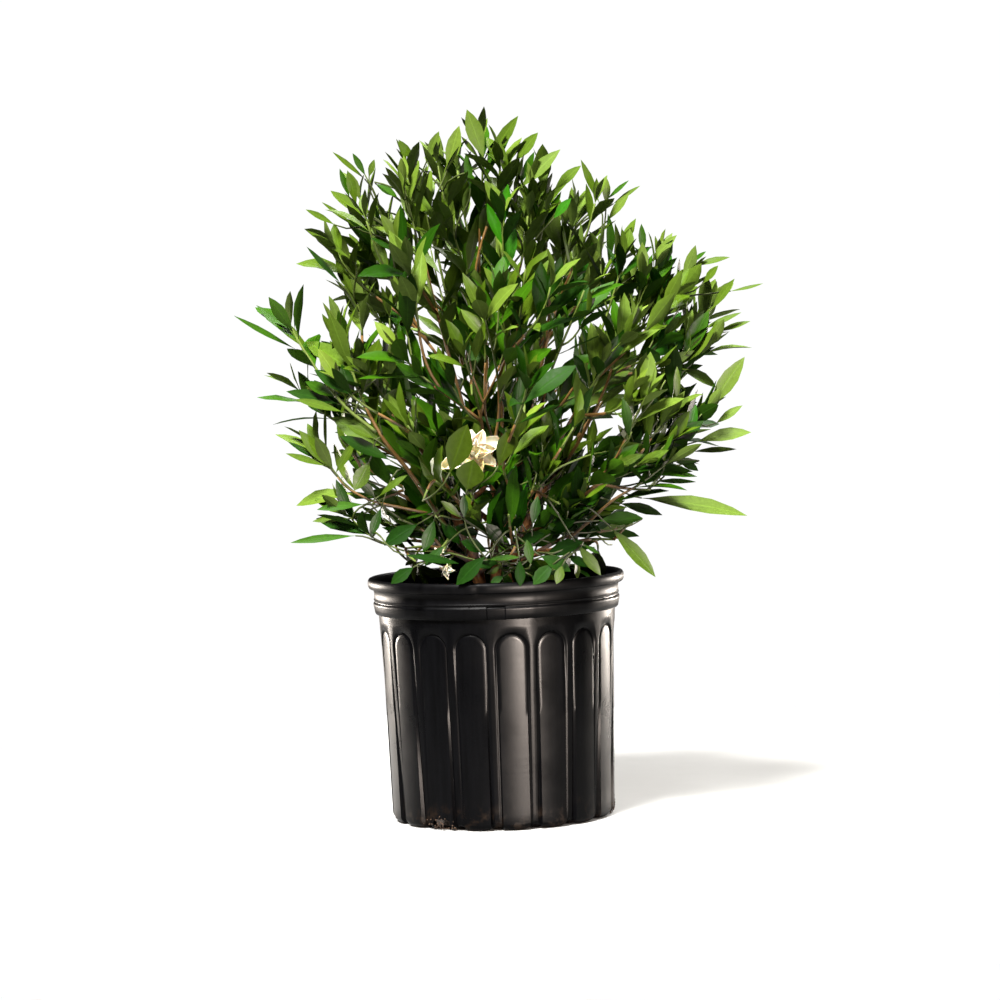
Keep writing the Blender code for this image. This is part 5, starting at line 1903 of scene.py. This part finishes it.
def build_world(settings):
    world = bpy.data.worlds.new("studio_air")
    bpy.context.scene.world = world
    world.use_nodes = True
    tree = world.node_tree
    air = tree.nodes["Background"]
    air.inputs["Color"].default_value = (1, 1, 1, 1)
    seen = tree.nodes.new("ShaderNodeLightPath").outputs["Is Camera Ray"]
    strength = tree.nodes.new("ShaderNodeMapRange")
    strength.inputs["To Min"].default_value = settings.air
    strength.inputs["To Max"].default_value = 1.02
    tree.links.new(seen, strength.inputs["Value"])
    tree.links.new(strength.outputs["Result"], air.inputs["Strength"])


def build_camera(settings):
    place = Vector((AIM.x, -settings.distance, CAMERA_HEIGHT))
    camera = bpy.data.cameras.new("viewer")
    camera.lens = 112
    camera.sensor_width = 36
    obj = in_scene("viewer", camera)
    look = (AIM - place).to_track_quat("-Z", "Y").to_matrix().to_4x4()
    obj.matrix_world = Matrix.Translation(place) @ look @ Matrix.Rotation(CAMERA_ROLL, 4, "Z")
    bpy.context.scene.camera = obj


# Operators


class GARDENIA_OT_pot(bpy.types.Operator):
    """Models the fluted pot with its rim, drain mouths and clinging grit"""

    bl_idname = "gardenia.pot"
    bl_label = "Pot"

    def execute(self, context):
        build_pot(context.scene.gardenia_pot)
        build_grit(context.scene.gardenia_pot)
        return {"FINISHED"}


class GARDENIA_OT_mix(bpy.types.Operator):
    """Fills the pot with potting mix under bark chips"""

    bl_idname = "gardenia.mix"
    bl_label = "Potting mix"

    def execute(self, context):
        build_mix(context.scene.gardenia_mix)
        build_chips(context.scene.gardenia_mix, [path[0] for path in stem_paths()])
        return {"FINISHED"}


class GARDENIA_OT_limbs(bpy.types.Operator):
    """Models the stems and boughs under their bark"""

    bl_idname = "gardenia.limbs"
    bl_label = "Stems and boughs"

    def execute(self, context):
        stems = stem_paths()
        boughs = {mass.name: bough_path(mass, stems) for mass in all_masses()}
        build_limbs(context.scene.gardenia_wood, stems, boughs)
        return {"FINISHED"}


class GARDENIA_OT_foliage(bpy.types.Operator):
    """Grows shoots, twigs, leaves and blooms from the boughs"""

    bl_idname = "gardenia.foliage"
    bl_label = "Shoots, leaves and blooms"

    def execute(self, context):
        scene = context.scene
        stems, _, limbs, growth = crown_plan(scene.gardenia_leaf)
        build_twigs(scene.gardenia_wood, growth)
        build_leaves(scene.gardenia_leaf, growth, limbs, stems)
        build_blooms(scene.gardenia_bloom, scene.gardenia_wood, growth)
        return {"FINISHED"}


class GARDENIA_OT_stage(bpy.types.Operator):
    """Sets the floor, the lights and the camera"""

    bl_idname = "gardenia.stage"
    bl_label = "Stage"

    def execute(self, context):
        settings = context.scene.gardenia_stage
        build_floor(settings)
        build_world(settings)
        add_sun("key", settings.key, (0.34, 0.64, -1.05), 15)
        add_sun("fill", settings.fill, (-0.35, -0.60, -0.9), 30)
        add_sun("front", settings.front, (-0.25, 0.55, -0.8), 45)
        add_strip("strip", (0.86, -1.92, 0.13), 0.26, 0.24, settings.glint * 0.9, (1.0, 0.86, 0.76))
        add_strip("left_edge", (-1.5, 1.45, 0.13), 0.22, 0.24, settings.glint * 0.2, (1.0, 0.90, 0.80))
        add_strip("right_edge", (1.5, 1.45, 0.13), 0.22, 0.24, settings.glint * 0.2, (1.0, 0.90, 0.80))
        build_camera(settings)
        context.scene.view_settings.view_transform = "Standard"
        return {"FINISHED"}


STEPS = (GARDENIA_OT_pot, GARDENIA_OT_mix, GARDENIA_OT_limbs, GARDENIA_OT_foliage, GARDENIA_OT_stage)


class GARDENIA_PT_steps(bpy.types.Panel):
    """Lists the plant's pieces and their sizes"""

    bl_idname = "GARDENIA_PT_steps"
    bl_label = "Potted gardenia"
    bl_space_type = "VIEW_3D"
    bl_region_type = "UI"
    bl_category = "Gardenia"

    def draw(self, context):
        for name, group in SETTINGS.items():
            box = self.layout.box()
            for prop in group.__annotations__:
                box.prop(getattr(context.scene, name), prop)
        for step in STEPS:
            self.layout.operator(step.bl_idname)


SETTINGS = {
    "gardenia_pot": GardeniaPotSettings,
    "gardenia_mix": GardeniaMixSettings,
    "gardenia_wood": GardeniaWoodSettings,
    "gardenia_leaf": GardeniaLeafSettings,
    "gardenia_bloom": GardeniaBloomSettings,
    "gardenia_stage": GardeniaStageSettings,
}


def register():
    for group in SETTINGS.values():
        bpy.utils.register_class(group)
    for name, group in SETTINGS.items():
        setattr(bpy.types.Scene, name, PointerProperty(type=group))
    for step in STEPS:
        bpy.utils.register_class(step)
    bpy.utils.register_class(GARDENIA_PT_steps)


def unregister():
    bpy.utils.unregister_class(GARDENIA_PT_steps)
    for step in reversed(STEPS):
        bpy.utils.unregister_class(step)
    for name, group in SETTINGS.items():
        delattr(bpy.types.Scene, name)
        bpy.utils.unregister_class(group)


def main():
    register()
    for name in ("pot", "mix", "limbs", "foliage", "stage"):
        getattr(bpy.ops.gardenia, name)()


if __name__ == "__main__":
    main()
